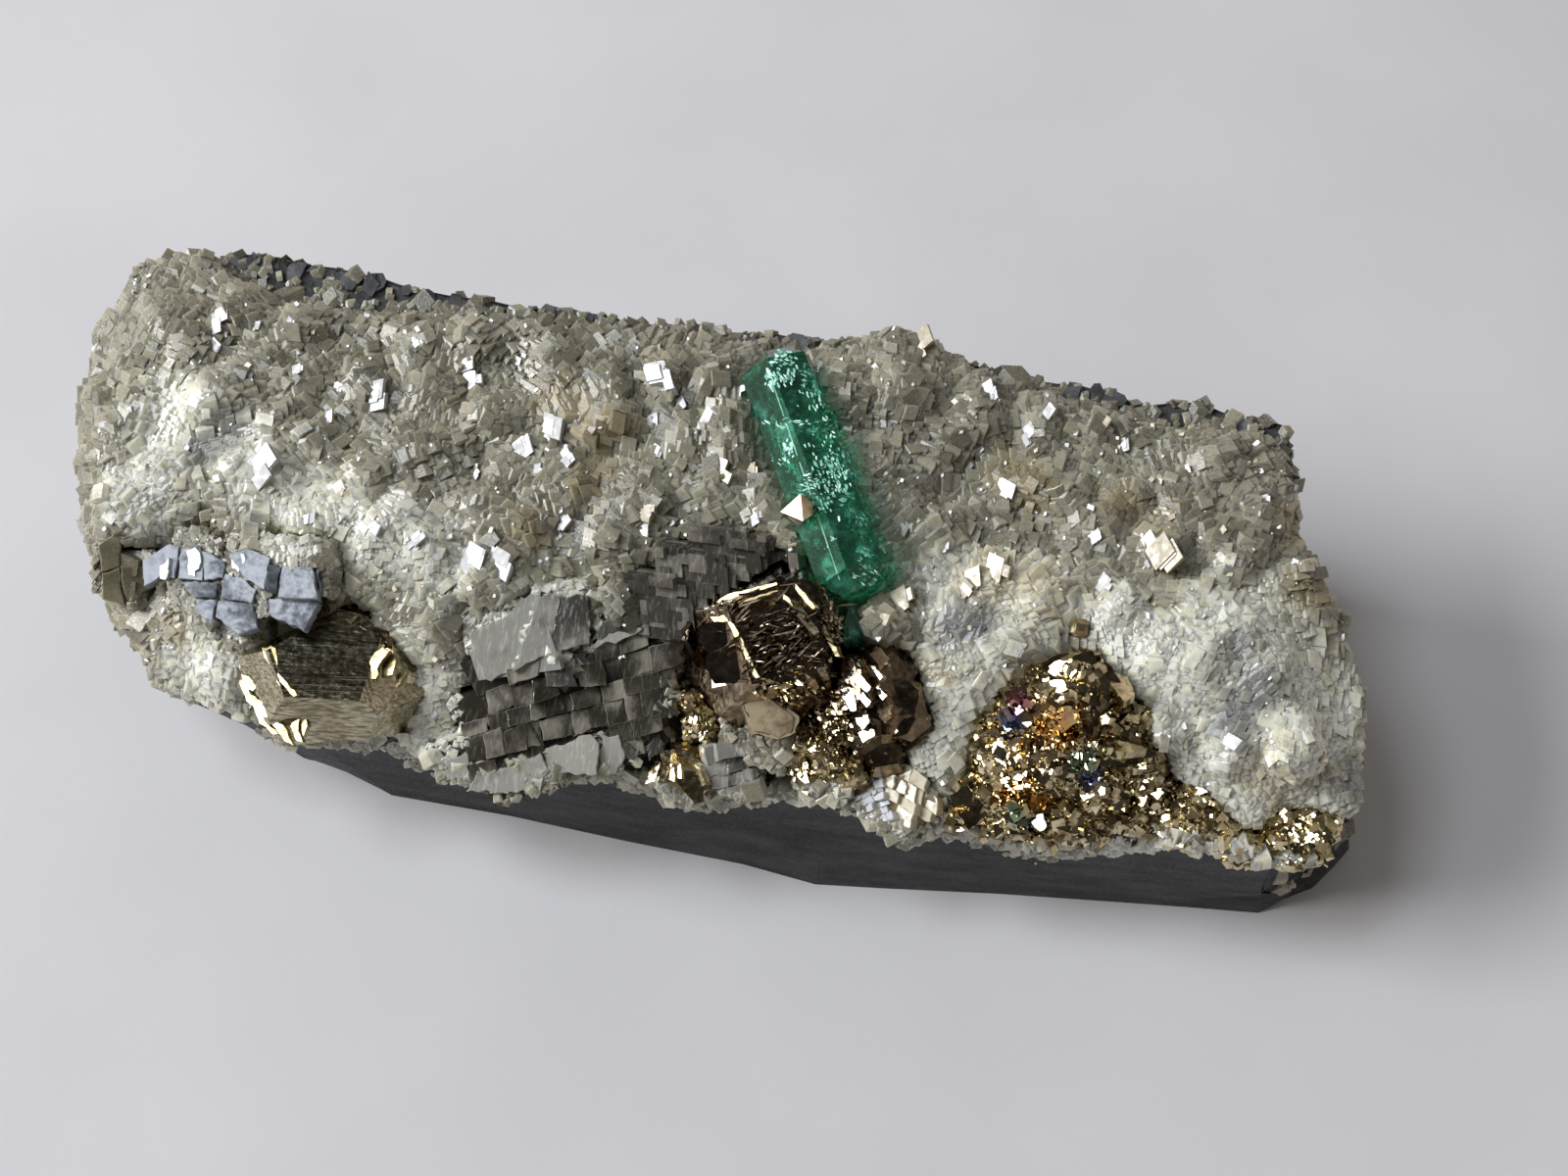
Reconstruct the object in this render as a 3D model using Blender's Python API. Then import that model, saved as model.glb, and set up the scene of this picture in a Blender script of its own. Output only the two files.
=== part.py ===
"""Emerald in matrix: a shale slab with a calcite druse, pyrite and calcite crystals and an emerald.

Metres, +Z up. The origin is on the sawn flat foot, +X runs along the slab and -Y is the display
side. The lengths in the tables are in millimetres, and MM turns them into metres.
"""

import math
import random

import bmesh
import bpy
from mathutils import Euler, Matrix, Vector, noise

MM = 0.001
GAP = 0.3 * MM  # clearance kept between two pieces that touch
MOSAIC_OVERLAP = 0.08 * MM  # how far neighbouring columns of a mosaic run into each other
MOSAIC_RAGGED = 0.5  # how far their lower ends differ, in millimetres
START_CUBE = 200 * MM  # every crystal is cut from a cube of this size
WELD = 0.01 * MM  # corners closer than this are one corner
SEED = 7

# Colour, roughness, metallic, transmission and index of refraction of the materials.
MATERIALS = {
    "shale": ((0.06, 0.06, 0.065), 0.8, 0.0, 0.0, 1.5),
    "calcite": ((0.45, 0.42, 0.36), 0.25, 0.0, 0.0, 1.5),
    "grey_calcite": ((0.36, 0.38, 0.42), 0.15, 0.0, 0.0, 1.5),
    "smoky_calcite": ((0.20, 0.18, 0.15), 0.2, 0.0, 0.0, 1.5),
    "pale_calcite": ((0.62, 0.59, 0.50), 0.25, 0.0, 0.0, 1.5),
    "emerald": ((0.02, 0.42, 0.22), 0.08, 0.0, 0.8, 1.58),
    "pyrite": ((0.72, 0.60, 0.34), 0.22, 1.0, 0.0, 1.5),
    "bronze_pyrite": ((0.42, 0.33, 0.22), 0.2, 1.0, 0.0, 1.5),
    "tarnished_pyrite": ((0.50, 0.38, 0.22), 0.22, 1.0, 0.0, 1.5),
}

# The slab's foot, sawn flat, and its rim, going round from the front left: foot x, y, rim x, y and
# the height at which the wall reaches the rim, in millimetres. The front is a flat saw cut.
SHALE_STATIONS = (
    (-25.0, -13.2, -37.0, -13.1, 8.6),
    (-22.9, -14.3, -28.0, -14.0, 7.0),
    (-14.0, -14.5, -14.0, -14.1, 5.0),
    (-5.0, -15.1, -5.0, -14.1, 5.0),
    (3.6, -15.5, 4.0, -14.1, 5.0),
    (9.0, -16.2, 9.0, -14.2, 5.0),
    (14.0, -15.7, 14.0, -14.1, 5.0),
    (22.0, -14.8, 22.0, -13.9, 5.0),
    (31.0, -14.0, 31.0, -13.6, 5.0),
    (40.6, -13.2, 40.0, -13.1, 5.0),
    (44.4, -10.6, 43.0, -10.6, 5.0),
    (47.0, -7.2, 44.4, -7.0, 6.0),
    (45.6, -1.0, 42.6, -0.5, 7.0),
    (41.0, 5.0, 38.8, 6.0, 8.0),
    (37.2, 11.0, 36.8, 14.2, 9.0),
    (30.5, 12.6, 31.6, 14.8, 10.0),
    (20.0, 12.2, 22.6, 15.1, 10.0),
    (10.0, 13.2, 10.2, 16.4, 11.0),
    (-0.5, 12.4, -1.0, 15.6, 11.0),
    (-10.0, 12.0, -11.5, 15.6, 11.0),
    (-18.5, 11.0, -22.5, 15.6, 12.0),
    (-24.0, 9.2, -34.0, 16.7, 13.5),
    (-27.0, 5.0, -44.0, 16.0, 16.0),
    (-28.2, 0.0, -46.6, 6.4, 15.0),
    (-27.6, -5.6, -44.2, -3.0, 12.0),
    (-26.8, -10.0, -41.8, -9.6, 9.6),
)
SAWN_STATIONS = range(1, 9)  # the wall from each of these stations to the next is the saw cut
SHALE_RINGS = (0.0, 0.35, 0.7, 1.0)  # share of the way from the foot to the rim
SHALE_RIM_RINGS = (16.0, 19.5, 23.0)  # heights of the rings above the rim, in millimetres
SHALE_RIM_CLEARANCE = 1.0  # these rings stay at least this far above the rim
SHALE_ROUGHNESS = 0.55  # ledges of the broken sides, in millimetres
SHALE_FOOT_ROUGHNESS = 0.4  # share of that roughness left at the foot
SHALE_SIDE_STEPS = 2  # points for each station

# The druse's outline seen from above, going round from the front left, and how deep its edge rolls
# off there, in millimetres.
DRUSE_OUTLINE = (
    (-38.0, -13.2, 5.0),
    (-31.4, -14.8, 6.5),
    (-26.0, -14.6, 7.5),
    (-21.2, -14.6, 8.0),
    (-15.2, -16.2, 8.0),
    (-9.4, -16.6, 8.0),
    (-4.6, -14.8, 8.0),
    (0.0, -16.0, 8.0),
    (5.8, -15.0, 8.0),
    (15.5, -15.6, 8.0),
    (17.6, -14.8, 8.0),
    (26.7, -15.3, 8.0),
    (31.8, -14.3, 7.5),
    (39.2, -14.4, 6.5),
    (43.0, -13.2, 6.0),
    (44.4, -10.0, 5.5),
    (44.2, -5.6, 5.0),
    (43.4, -1.4, 4.0),
    (41.4, 1.6, 3.5),
    (39.4, 4.6, 3.0),
    (39.0, 8.2, 2.5),
    (37.6, 11.4, 2.0),
    (36.2, 13.0, 2.0),
    (32.4, 12.6, 1.0),
    (27.6, 12.6, 1.0),
    (22.4, 13.8, 1.0),
    (15.0, 15.0, 1.0),
    (10.2, 16.6, 1.0),
    (5.0, 15.2, 1.0),
    (0.6, 14.0, 1.0),
    (-2.6, 14.4, 1.0),
    (-9.0, 14.5, 1.0),
    (-17.8, 13.6, 1.0),
    (-26.6, 12.8, 1.0),
    (-34.2, 12.8, 1.0),
    (-38.4, 14.6, 1.5),
    (-42.0, 15.4, 2.0),
    (-45.8, 14.4, 2.5),
    (-47.2, 9.4, 3.0),
    (-47.2, 4.6, 3.0),
    (-46.4, -0.6, 3.0),
    (-44.4, -5.4, 3.5),
    (-41.6, -10.0, 4.0),
)
ROLL_WIDTH = 8.5  # width of the front's rolled edge; a shallower edge is narrower in proportion
ROLL_DEPTH = 8.0
LEAST_ROLL = 0.3  # least share of that width
ROLL_CURVE = 1.6  # how fast the edge steepens
LIP = 1.6  # the druse is at least this thick at its edge
PRISM_BOTTOM = -5.0  # the upright prism that the druse is cut from
PRISM_TOP = 45.0
PRISM_STEPS = 2  # points for each point of the outline
PRISM_WANDER = 0.45  # how far its edge strays from the outline

# Upper side of the druse: a plane that leans toward the viewer, with swells (x, y, reach, rise).
DRUSE_HEIGHT = 20.2
DRUSE_LEAN = 0.18
DRUSE_FALL_RIGHT = 0.03
DRUSE_SWELLS = (
    (-36.0, 4.0, 7.0, 1.3),
    (-24.0, -3.0, 8.0, 0.7),
    (-8.0, 5.0, 10.0, -0.5),
    (11.0, 13.0, 6.0, 1.2),
    (17.0, 6.0, 6.0, -1.0),
    (30.0, 4.0, 9.0, 0.4),
    (24.0, -5.0, 8.0, 1.0),
    (37.0, -6.0, 6.0, 1.4),
    (-6.5, -9.5, 5.0, -1.6),
    (-12.0, -9.0, 4.0, -0.6),
    (-33.5, -8.5, 4.5, -1.0),
)
DRUSE_RIPPLE = 0.5  # height and width of its fine swells
DRUSE_RIPPLE_WIDTH = 5.0
DRUSE_CELL = 4.4  # spacing of the small crystals in a row
DRUSE_ROW = 3.828  # spacing of the rows
DRUSE_START = (-48, -16)  # where the first row starts
DRUSE_COUNT = (24, 10)  # crystals in a row, and rows
DRUSE_JITTER = 0.9  # how far a crystal strays from its place
DRUSE_SUNK = 0.35  # share of its inradius by which its centre lies under the surface
DRUSE_INRADIUS = (1.2, 1.9)  # centre to face of the small crystals
DRUSE_CLEAR = (  # places taken by larger crystals: x, y and reach
    (-25.4, -12.0, 5.6),
    (-37.6, -8.0, 3.6),
    (-33.0, -8.6, 3.8),
    (-29.5, -8.0, 3.2),
    (-11.5, -9.0, 4.4),
    (-12.0, -13.4, 5.0),
    (-5.5, -11.0, 5.4),
    (3.8, -6.8, 6.4),
    (0.2, -2.4, 4.4),
    (12.2, -9.6, 5.0),
    (5.6, 4.8, 3.0),
    (2.8, 9.8, 3.0),
    (9.0, -1.6, 3.0),
    (0.0, -12.8, 4.0),
    (6.5, -12.2, 4.2),
    (14.2, -13.6, 3.6),
    (24.6, -9.8, 6.4),
    (33.8, -12.4, 3.4),
    (37.6, -13.0, 3.2),
    (41.0, -12.6, 3.2),
)
DRUSE_MARGIN = 1.5  # least distance from their centres to the outline
DRUSE_TILT = 50  # degrees that a crystal's axis leans from upright, at most

# The bedding face where the druse sits on the shale.
BED_HEIGHT = 15.7
BED_LEAN = 0.37
BED_RIPPLE = 0.6
BED_RIPPLE_WIDTH = 9.0
BED_CELL = 7.0
TOP_CELL = 4.0
TERRAIN_HALF = (54.0, 22.0)  # half the size of the blocks under the two surfaces
TERRAIN_FLOOR = -10.0

# Calcite cleaves into rhombohedra, whose face normals stand this far from the crystal's axis.
CALCITE_ANGLE = math.radians(44.6)


def mm(*values):
    """A point given in millimetres, as a vector in metres."""
    return Vector(values) * MM


# ---------------------------------------------------------------- surfaces, in millimetres


def nearest_edge(x, y):
    """Distance from (x, y) to the druse's outline, and the roll-off depth there."""
    best = (1e9, 0.0)
    point = Vector((x, y))
    for i, (x1, y1, roll1) in enumerate(DRUSE_OUTLINE):
        x2, y2, roll2 = DRUSE_OUTLINE[(i + 1) % len(DRUSE_OUTLINE)]
        start = Vector((x1, y1))
        along = Vector((x2, y2)) - start
        share = min(1.0, max(0.0, (point - start).dot(along) / along.length_squared))
        distance = (point - start - along * share).length
        if distance < best[0]:
            best = (distance, roll1 + (roll2 - roll1) * share)
    return best


def in_ring(x, y, ring):
    """True if (x, y) lies inside the closed ring of points."""
    inside = False
    for i, (x1, y1, *_) in enumerate(ring):
        x2, y2, *_ = ring[i - 1]
        if (y1 > y) != (y2 > y) and x < x1 + (x2 - x1) * (y - y1) / (y2 - y1):
            inside = not inside
    return inside


def druse_top(x, y):
    """Height of the druse's upper side, before its small crystals."""
    height = DRUSE_HEIGHT + DRUSE_LEAN * y - DRUSE_FALL_RIGHT * max(x, 0.0)
    for swell_x, swell_y, reach, rise in DRUSE_SWELLS:
        height += rise * math.exp(-((x - swell_x) ** 2 + (y - swell_y) ** 2) / reach**2)
    height += DRUSE_RIPPLE * noise.noise(Vector((x, y, 0.0)) / DRUSE_RIPPLE_WIDTH)
    distance, roll = nearest_edge(x, y)
    if not in_ring(x, y, DRUSE_OUTLINE):
        distance = 0.0
    width = ROLL_WIDTH * max(roll / ROLL_DEPTH, LEAST_ROLL)
    if distance < width:
        height -= roll * (1.0 - distance / width) ** ROLL_CURVE
    return max(height, bed_top(x, y) + LIP)


def bed_top(x, y):
    """Height of the shale's bedding face under the druse."""
    ripple = BED_RIPPLE * noise.noise(Vector((x, y, 40.0)) / BED_RIPPLE_WIDTH)
    return BED_HEIGHT + BED_LEAN * y + ripple


# ---------------------------------------------------------------- scene helpers


def clear_scene():
    for obj in list(bpy.data.objects):
        bpy.data.objects.remove(obj)


def new_collection(name):
    collection = bpy.data.collections.new(name)
    bpy.context.scene.collection.children.link(collection)
    return collection


def new_material(name, colour, roughness, metallic, transmission, ior):
    material = bpy.data.materials.new(name)
    material.use_nodes = True
    shader = material.node_tree.nodes["Principled BSDF"]
    shader.inputs["Base Color"].default_value = (*colour, 1.0)
    shader.inputs["Roughness"].default_value = roughness
    shader.inputs["Metallic"].default_value = metallic
    shader.inputs["Transmission Weight"].default_value = transmission
    shader.inputs["IOR"].default_value = ior
    return material


def object_from(name, bm, collection):
    """A new object in collection that holds bm's mesh. bm is freed."""
    bmesh.ops.recalc_face_normals(bm, faces=bm.faces)
    mesh = bpy.data.meshes.new(name)
    bm.to_mesh(mesh)
    bm.free()
    obj = bpy.data.objects.new(name, mesh)
    collection.objects.link(obj)
    return obj


def boolean(obj, other, operation):
    """Adds a live Boolean, which also resolves crystals of one mesh that run into each other."""
    modifier = obj.modifiers.new(other.name, "BOOLEAN")
    modifier.operation = operation
    modifier.solver = "EXACT"
    modifier.use_self = True
    modifier.object = other


def settle(obj):
    """Applies obj's modifiers and drops the loose chips that the cuts leave."""
    graph = bpy.context.evaluated_depsgraph_get()
    mesh = bpy.data.meshes.new_from_object(obj.evaluated_get(graph))
    obj.modifiers.clear()
    bm = bmesh.new()
    bm.from_mesh(mesh)
    keep_largest(bm)
    bmesh.ops.triangulate(bm, faces=bm.faces)
    bm.to_mesh(mesh)
    bm.free()
    obj.data = mesh


def keep_largest(bm):
    """Deletes every connected body of bm except the one with most vertices."""
    bodies = []
    seen = set()
    for start in bm.verts:
        if start in seen:
            continue
        body = [start]
        seen.add(start)
        for vert in body:
            for edge in vert.link_edges:
                other = edge.other_vert(vert)
                if other not in seen:
                    seen.add(other)
                    body.append(other)
        bodies.append(body)
    largest = max(bodies, key=len)
    chips = [vert for body in bodies if body is not largest for vert in body]
    bmesh.ops.delete(bm, geom=chips, context="VERTS")


# ---------------------------------------------------------------- crystal forms, as face normals


def signs(*values):
    """Every choice of sign for the values that aren't zero."""
    found = [()]
    for value in values:
        found = [(*rest, v) for rest in found for v in ((value, -value) if value else (0,))]
    return found


def turns_of(*values):
    """The three cyclic orders of values with every choice of sign, as unit vectors."""
    found = []
    for shift in range(3):
        order = values[shift:] + values[:shift]
        found += [Vector(v).normalized() for v in signs(*order)]
    return found


def fan_of(count, lean, start=0.0):
    """count normals round +Z, each leaning from it by the angle lean."""
    found = []
    for k in range(count):
        angle = start + 2 * math.pi * k / count
        flat = Vector((math.cos(angle), math.sin(angle), 0.0))
        found.append(flat * math.sin(lean) + Vector((0, 0, math.cos(lean))))
    return found


TRUNCATION = 1.07  # distance of a truncated cube's edge faces, over that of its cube faces
PYRITOHEDRON = turns_of(2, 1, 0)
CUBE = turns_of(1, 0, 0)
OCTAHEDRON = [Vector(v).normalized() for v in signs(1, 1, 1)]
RHOMB = fan_of(3, CALCITE_ANGLE)


def faces_of(normals, inradius):
    """Planes (normal, distance) of a form whose faces all lie inradius from its centre."""
    return [(Vector(normal).normalized(), inradius) for normal in normals]


def pyritohedron(inradius):
    return faces_of(PYRITOHEDRON, inradius)


def truncated_cube(inradius):
    """A pyrite cube whose edges carry narrow pyritohedron faces."""
    return faces_of(CUBE, inradius) + faces_of(PYRITOHEDRON, inradius * TRUNCATION)


def octahedron(inradius):
    return faces_of(OCTAHEDRON, inradius)


def rhomb(inradius):
    """A calcite cleavage rhomb."""
    return [(side * normal, inradius) for normal in RHOMB for side in (1, -1)]


def cleavage_block(*ranges):
    """A calcite block between cleavage planes: a (low, high) range along each of the 3 normals."""
    planes = []
    for normal, (low, high) in zip(RHOMB, ranges):
        planes += [(normal, high), (-normal, -low)]
    return planes


def hexagonal_prism(inradius, half_length, bevel, bevel_share):
    """A beryl prism with a flat cap and bevelled ends."""
    planes = faces_of(fan_of(6, math.pi / 2), inradius)
    for end in (1, -1):
        planes.append((Vector((0, 0, end)), half_length))
        for normal in fan_of(6, bevel):
            normal.z *= end
            edge = inradius * bevel_share
            planes.append((normal, edge * math.sin(bevel) + half_length * math.cos(bevel)))
    return planes


def add_crystal(bm, planes, frame, grow=0.0):
    """Adds to bm the convex crystal that planes bound, each moved outward by grow."""
    crystal = bmesh.new()
    bmesh.ops.create_cube(crystal, size=START_CUBE)
    for normal, distance in planes:
        cut = bmesh.ops.bisect_plane(
            crystal,
            geom=crystal.verts[:] + crystal.edges[:] + crystal.faces[:],
            plane_co=normal * (distance + grow),
            plane_no=normal,
            clear_outer=True,
        )
        rim = [item for item in cut["geom_cut"] if isinstance(item, bmesh.types.BMEdge)]
        if rim:
            bmesh.ops.edgeloop_fill(crystal, edges=rim)
    bmesh.ops.remove_doubles(crystal, verts=crystal.verts, dist=WELD)
    bmesh.ops.dissolve_degenerate(crystal, edges=crystal.edges, dist=WELD)
    bmesh.ops.transform(crystal, matrix=frame, verts=crystal.verts)
    mesh = bpy.data.meshes.new("crystal")
    crystal.to_mesh(mesh)
    crystal.free()
    bm.from_mesh(mesh)
    bpy.data.meshes.remove(mesh)


def square_axes(main, side):
    """Matrix whose columns are main, side made square to it, and their cross product."""
    main = Vector(main).normalized()
    side = Vector(side) - main * main.dot(Vector(side))
    side.normalize()
    return Matrix((main, side, main.cross(side))).transposed()


def facing(at, normal, toward, side, side_toward):
    """Frame at a point that turns a form's normal toward one direction and its side to another."""
    turn = square_axes(toward, side_toward) @ square_axes(normal, side).transposed()
    return Matrix.Translation(mm(*at)) @ turn.to_4x4()


# ---------------------------------------------------------------- groups of crystals
# A group is a list of (planes, frame) pairs, every one a convex crystal of the same solid.


def random_turn(rng):
    """A rotation about a random axis."""
    axis = Vector([rng.gauss(0, 1) for _ in range(3)]).normalized()
    return Matrix.Rotation(rng.uniform(0, 2 * math.pi), 4, axis)


def grains(seed, spots):
    """Pyrite grains with random turns at spots (x, y, z, inradius); one in three is a cube."""
    rng = random.Random(seed)
    group = []
    for x, y, z, inradius in spots:
        form = rng.choice((pyritohedron, pyritohedron, truncated_cube))
        frame = Matrix.Translation(mm(x, y, z)) @ random_turn(rng)
        group.append((form(inradius * MM), frame))
    return group


def mosaic(at, toward, row_turn, cell, outline, relief, depth, seed):
    """Calcite columns in one cleavage lattice, whose tops stand at different heights.

    The tops face toward. The outline is a ring of points on them, measured along the display side
    and across it, and row_turn is the angle in degrees from that direction to the lattice's. Relief
    is half the span of the columns' heights.
    """
    rng = random.Random(seed)
    toward_axis, along_axis, across_axis = square_axes(toward, ALONG_FRONT).transposed()
    row = Matrix.Rotation(math.radians(row_turn), 3, toward_axis) @ along_axis
    frame = facing(at, RHOMB[0], toward, RHOMB[1], row)
    count = math.ceil(max(max(abs(a), abs(b)) for a, b in outline) / cell) + 1
    group = []
    for i in range(-count, count):
        for j in range(-count, count):
            low = (i * cell, j * cell)
            middle = lattice_point(0.0, low[0] + cell / 2, low[1] + cell / 2)
            spot = frame.to_3x3() @ middle
            if not in_ring(spot.dot(along_axis), spot.dot(across_axis), outline):
                continue
            top = rng.uniform(-relief, relief)
            bottom = -depth - rng.uniform(0.0, MOSAIC_RAGGED)
            sides = [(value * MM, (value + cell) * MM + MOSAIC_OVERLAP) for value in low]
            group.append((cleavage_block((bottom * MM, top * MM), *sides), frame))
    return group


def lattice_point(a, b, c):
    """The point whose distances along the three cleavage normals are a, b and c."""
    return Matrix(RHOMB).inverted() @ Vector((a, b, c))


def blocks(table):
    """Cleavage blocks, each as (at, toward, side_toward, and the low and high of each range)."""
    group = []
    for at, toward, side_toward, *ranges in table:
        frame = facing(at, RHOMB[0], toward, RHOMB[1], side_toward)
        group.append((cleavage_block(*[(low * MM, high * MM) for low, high in ranges]), frame))
    return group


# ---------------------------------------------------------------- the large crystals

UP_FRONT = (0.08, -0.49, 0.87)  # the direction the display side faces
ALONG_FRONT = (0.99, 0.16, 0.0)  # across it, to the right

EMERALD_ENDS = ((9.9, -3.6, 20.7), (1.2, 12.5, 23.6))  # front end, rear end
EMERALD_INRADIUS = 2.35
EMERALD_BEVEL = math.radians(42)
EMERALD_BEVEL_SHARE = 0.45
SMALL_EMERALD_ENDS = ((9.9, -6.6, 18.9), (7.9, -3.6, 19.9))
SMALL_EMERALD_INRADIUS = 1.0
RIDGE_TURN = (-0.10, -0.49, 0.87)  # a ridge of the emerald looks this way

STRIATED_AT = (-25.2, -11.0, 12.6)
STRIATED_FACES = (  # direction and distance of every face, the striated one first
    (0.02, -0.14, 0.99, 4.62),
    (-0.74, -0.58, 0.35, 5.35),
    (0.08, -0.93, 0.36, 4.9),
    (0.74, -0.55, 0.38, 5.0),
    (0.62, 0.62, 0.48, 4.7),
    (-0.35, 0.80, 0.48, 4.7),
    (-0.72, 0.60, 0.35, 3.1),
    (-0.62, -0.40, -0.68, 4.7),
    (0.40, -0.50, -0.77, 4.1),
    (0.10, 0.30, -0.95, 5.0),
    (-0.90, 0.10, -0.40, 5.4),
    (0.87, 0.10, -0.48, 4.2),
)
STEPPED_AT = (4.2, -6.3, 16.2)
STEPPED_TERRACES = (  # offset from STEPPED_AT and inradius
    (0.0, 0.0, 0.0, 4.9),
    (0.9, 0.3, 0.9, 4.3),
    (1.5, 0.6, 1.7, 3.6),
    (2.0, 0.9, 2.4, 2.9),
)
STEPPED_TOWARD = (0.10, -0.28, 0.95)
STEPPED_SIDE = (-0.85, -0.45, 0.0)
STEPPED_CUBES = ((1.2, -6.4, 18.3, 1.7), (2.0, -9.0, 16.9, 1.7))
STEPPED_CUBES_TOWARD = (-0.42, -0.30, 0.86)
STEPPED_CUBES_SIDE = (0.2, -0.9, -0.2)

FACETED = (  # x, y, z, inradius, direction its face looks
    (10.4, -8.2, 16.4, 2.3, (-0.35, -0.35, 0.87)),
    (12.2, -7.6, 17.0, 2.0, (0.35, -0.30, 0.88)),
    (13.4, -9.4, 15.7, 2.0, (0.45, -0.60, 0.66)),
    (11.5, -10.4, 15.0, 1.9, (-0.10, -0.70, 0.70)),
    (9.2, -10.2, 15.0, 1.5, (-0.50, -0.50, 0.70)),
    (12.8, -11.6, 13.6, 1.4, (0.10, -0.50, 0.86)),
)
GOLDEN = (
    (9.1, -12.3, 13.1, 1.4),
    (7.5, -11.6, 13.9, 1.1),
    (10.8, -12.9, 12.7, 1.1),
    (8.3, -13.4, 12.1, 1.1),
    (10.0, -13.8, 11.6, 1.0),
    (6.6, -12.7, 12.9, 0.9),
)
NUGGET = ((-0.1, -10.6, 15.2, 1.2), (0.3, -11.8, 14.2, 1.1))
FRONT_AT = (-0.4, -14.1, 11.3)
FRONT_INRADIUS = 2.1
FRONT_TOWARD = (0.1, -0.75, 0.65)
FRONT_SIDE = (1, 0, 0.1)
TARNISHED = (
    (24.2, -9.6, 14.8, 3.2),
    (25.1, -6.7, 18.4, 1.7),
    (23.8, -8.2, 17.4, 2.2),
    (21.9, -8.6, 17.0, 1.8),
    (24.4, -10.6, 15.8, 2.3),
    (21.2, -10.9, 14.6, 2.1),
    (27.7, -8.9, 16.5, 2.1),
    (29.5, -10.3, 14.8, 1.8),
    (26.8, -11.4, 14.2, 2.0),
    (19.8, -12.9, 12.2, 1.6),
    (18.7, -14.2, 11.4, 1.1),
    (22.5, -13.3, 12.2, 1.9),
    (25.5, -13.3, 12.0, 1.8),
    (28.2, -12.6, 12.5, 1.5),
    (31.4, -11.4, 13.3, 1.2),
    (30.4, -12.7, 12.2, 1.3),
    (20.1, -9.9, 15.4, 1.3),
    (26.9, -7.2, 17.8, 1.4),
    (22.7, -7.0, 18.2, 1.2),
    (29.3, -8.3, 16.6, 1.3),
    (20.9, -14.4, 11.2, 1.1),
    (24.0, -14.8, 11.0, 1.0),
    (27.4, -14.0, 11.4, 1.1),
    (28.4, -10.9, 14.4, 1.4),
    (23.0, -12.0, 13.8, 1.5),
)
TRAILING = (
    (32.4, -13.0, 12.1, 1.1),
    (33.4, -11.8, 13.2, 1.2),
    (33.8, -13.2, 12.0, 1.1),
    (35.0, -12.5, 12.4, 1.2),
    (36.1, -13.3, 11.9, 1.1),
    (37.2, -13.8, 11.6, 1.1),
    (38.3, -13.6, 11.6, 0.9),
)
END_GROUP = (
    (40.1, -12.6, 12.3, 1.3),
    (41.5, -12.2, 12.3, 1.3),
    (42.6, -11.6, 12.3, 1.0),
    (40.8, -13.4, 11.6, 1.1),
    (42.1, -12.9, 11.5, 1.0),
)
BEAD_AT = (24.5, -3.4, 19.9)
BEAD_INRADIUS = 0.6
BEAD_TOWARD = (0.3, -0.4, 0.86)
BEAD_SIDE = (1, 0, 0)
OCTAHEDRON_AT = (5.2, 0.4, 23.6)
OCTAHEDRON_INRADIUS = 0.75
OCTAHEDRON_TOWARD = (0.35, -0.3, 0.88)
OCTAHEDRON_SIDE = (0, 1, 0)

MOSAIC_OUTLINE = (
    (-7.1, 3.2),
    (0.0, 3.4),
    (2.6, 3.2),
    (3.8, 2.2),
    (6.8, 1.9),
    (6.6, -1.1),
    (4.5, -2.6),
    (3.4, -2.3),
    (1.7, -3.8),
    (-1.1, -2.6),
    (-2.8, -1.5),
    (-3.0, 0.0),
    (-6.8, 0.4),
)
BLOCKY_OUTLINE = (
    (-8.9, -1.3),
    (-7.5, 1.0),
    (-4.5, 2.9),
    (0.8, 5.5),
    (6.0, 6.2),
    (8.4, 4.7),
    (8.0, 2.1),
    (6.8, -1.4),
    (6.2, -4.2),
    (-1.5, -5.4),
    (-6.0, -5.0),
    (-8.3, -4.0),
)


MOSAIC = {
    "at": (-33.2, -9.0, 19.0),
    "toward": (-0.16, -0.28, 0.95),
    "row_turn": 4,
    "cell": 1.75,
    "outline": MOSAIC_OUTLINE,
    "relief": 0.55,
    "depth": 2.6,
    "seed": 3,
}
BLOCKY = {
    "at": (-8.9, -12.3, 14.9),
    "toward": (0.04, -0.54, 0.84),
    "row_turn": 29,
    "cell": 2.35,
    "outline": BLOCKY_OUTLINE,
    "relief": 0.7,
    "depth": 4.0,
    "seed": 5,
}

# Cleavage blocks: centre, the direction the first face looks, the direction of the second, and the
# low and high range along each of the three cleavage normals.
CORNER_SIZE = 1.5
CORNER_BLOCKS = (
    ((-40.4, -7.7, 16.8), (-0.1, -0.55, 0.82), (1, 0, 0), *[(-CORNER_SIZE, CORNER_SIZE)] * 3),
)
PALE_BLOCKS = (
    (
        (-12.8, -8.8, 17.4),
        (-0.14, -0.48, 0.86),
        (0.99, 0.42, 0.3),
        (-1.8, 0.9),
        (-2.9, 2.7),
        (-2.3, 2.3),
    ),
    (
        (-8.9, -7.2, 17.9),
        (0.16, -0.50, 0.85),
        (0.99, 0.50, 0.1),
        (-1.8, 0.3),
        (-2.0, 1.7),
        (-2.3, 2.4),
    ),
)
SMOKY_CUBES = (  # x, y, z and half size of a row of equal blocks
    (-2.6, -4.6, 17.6, 2.0),
    (-0.9, -2.7, 18.2, 2.1),
    (1.7, -1.4, 18.6, 2.0),
    (4.3, -1.5, 18.4, 1.6),
)
SMOKY_TOWARD = (0.0, -0.45, 0.89)
SMOKY_SIDE = (0.95, 0.25, 0.0)
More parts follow.
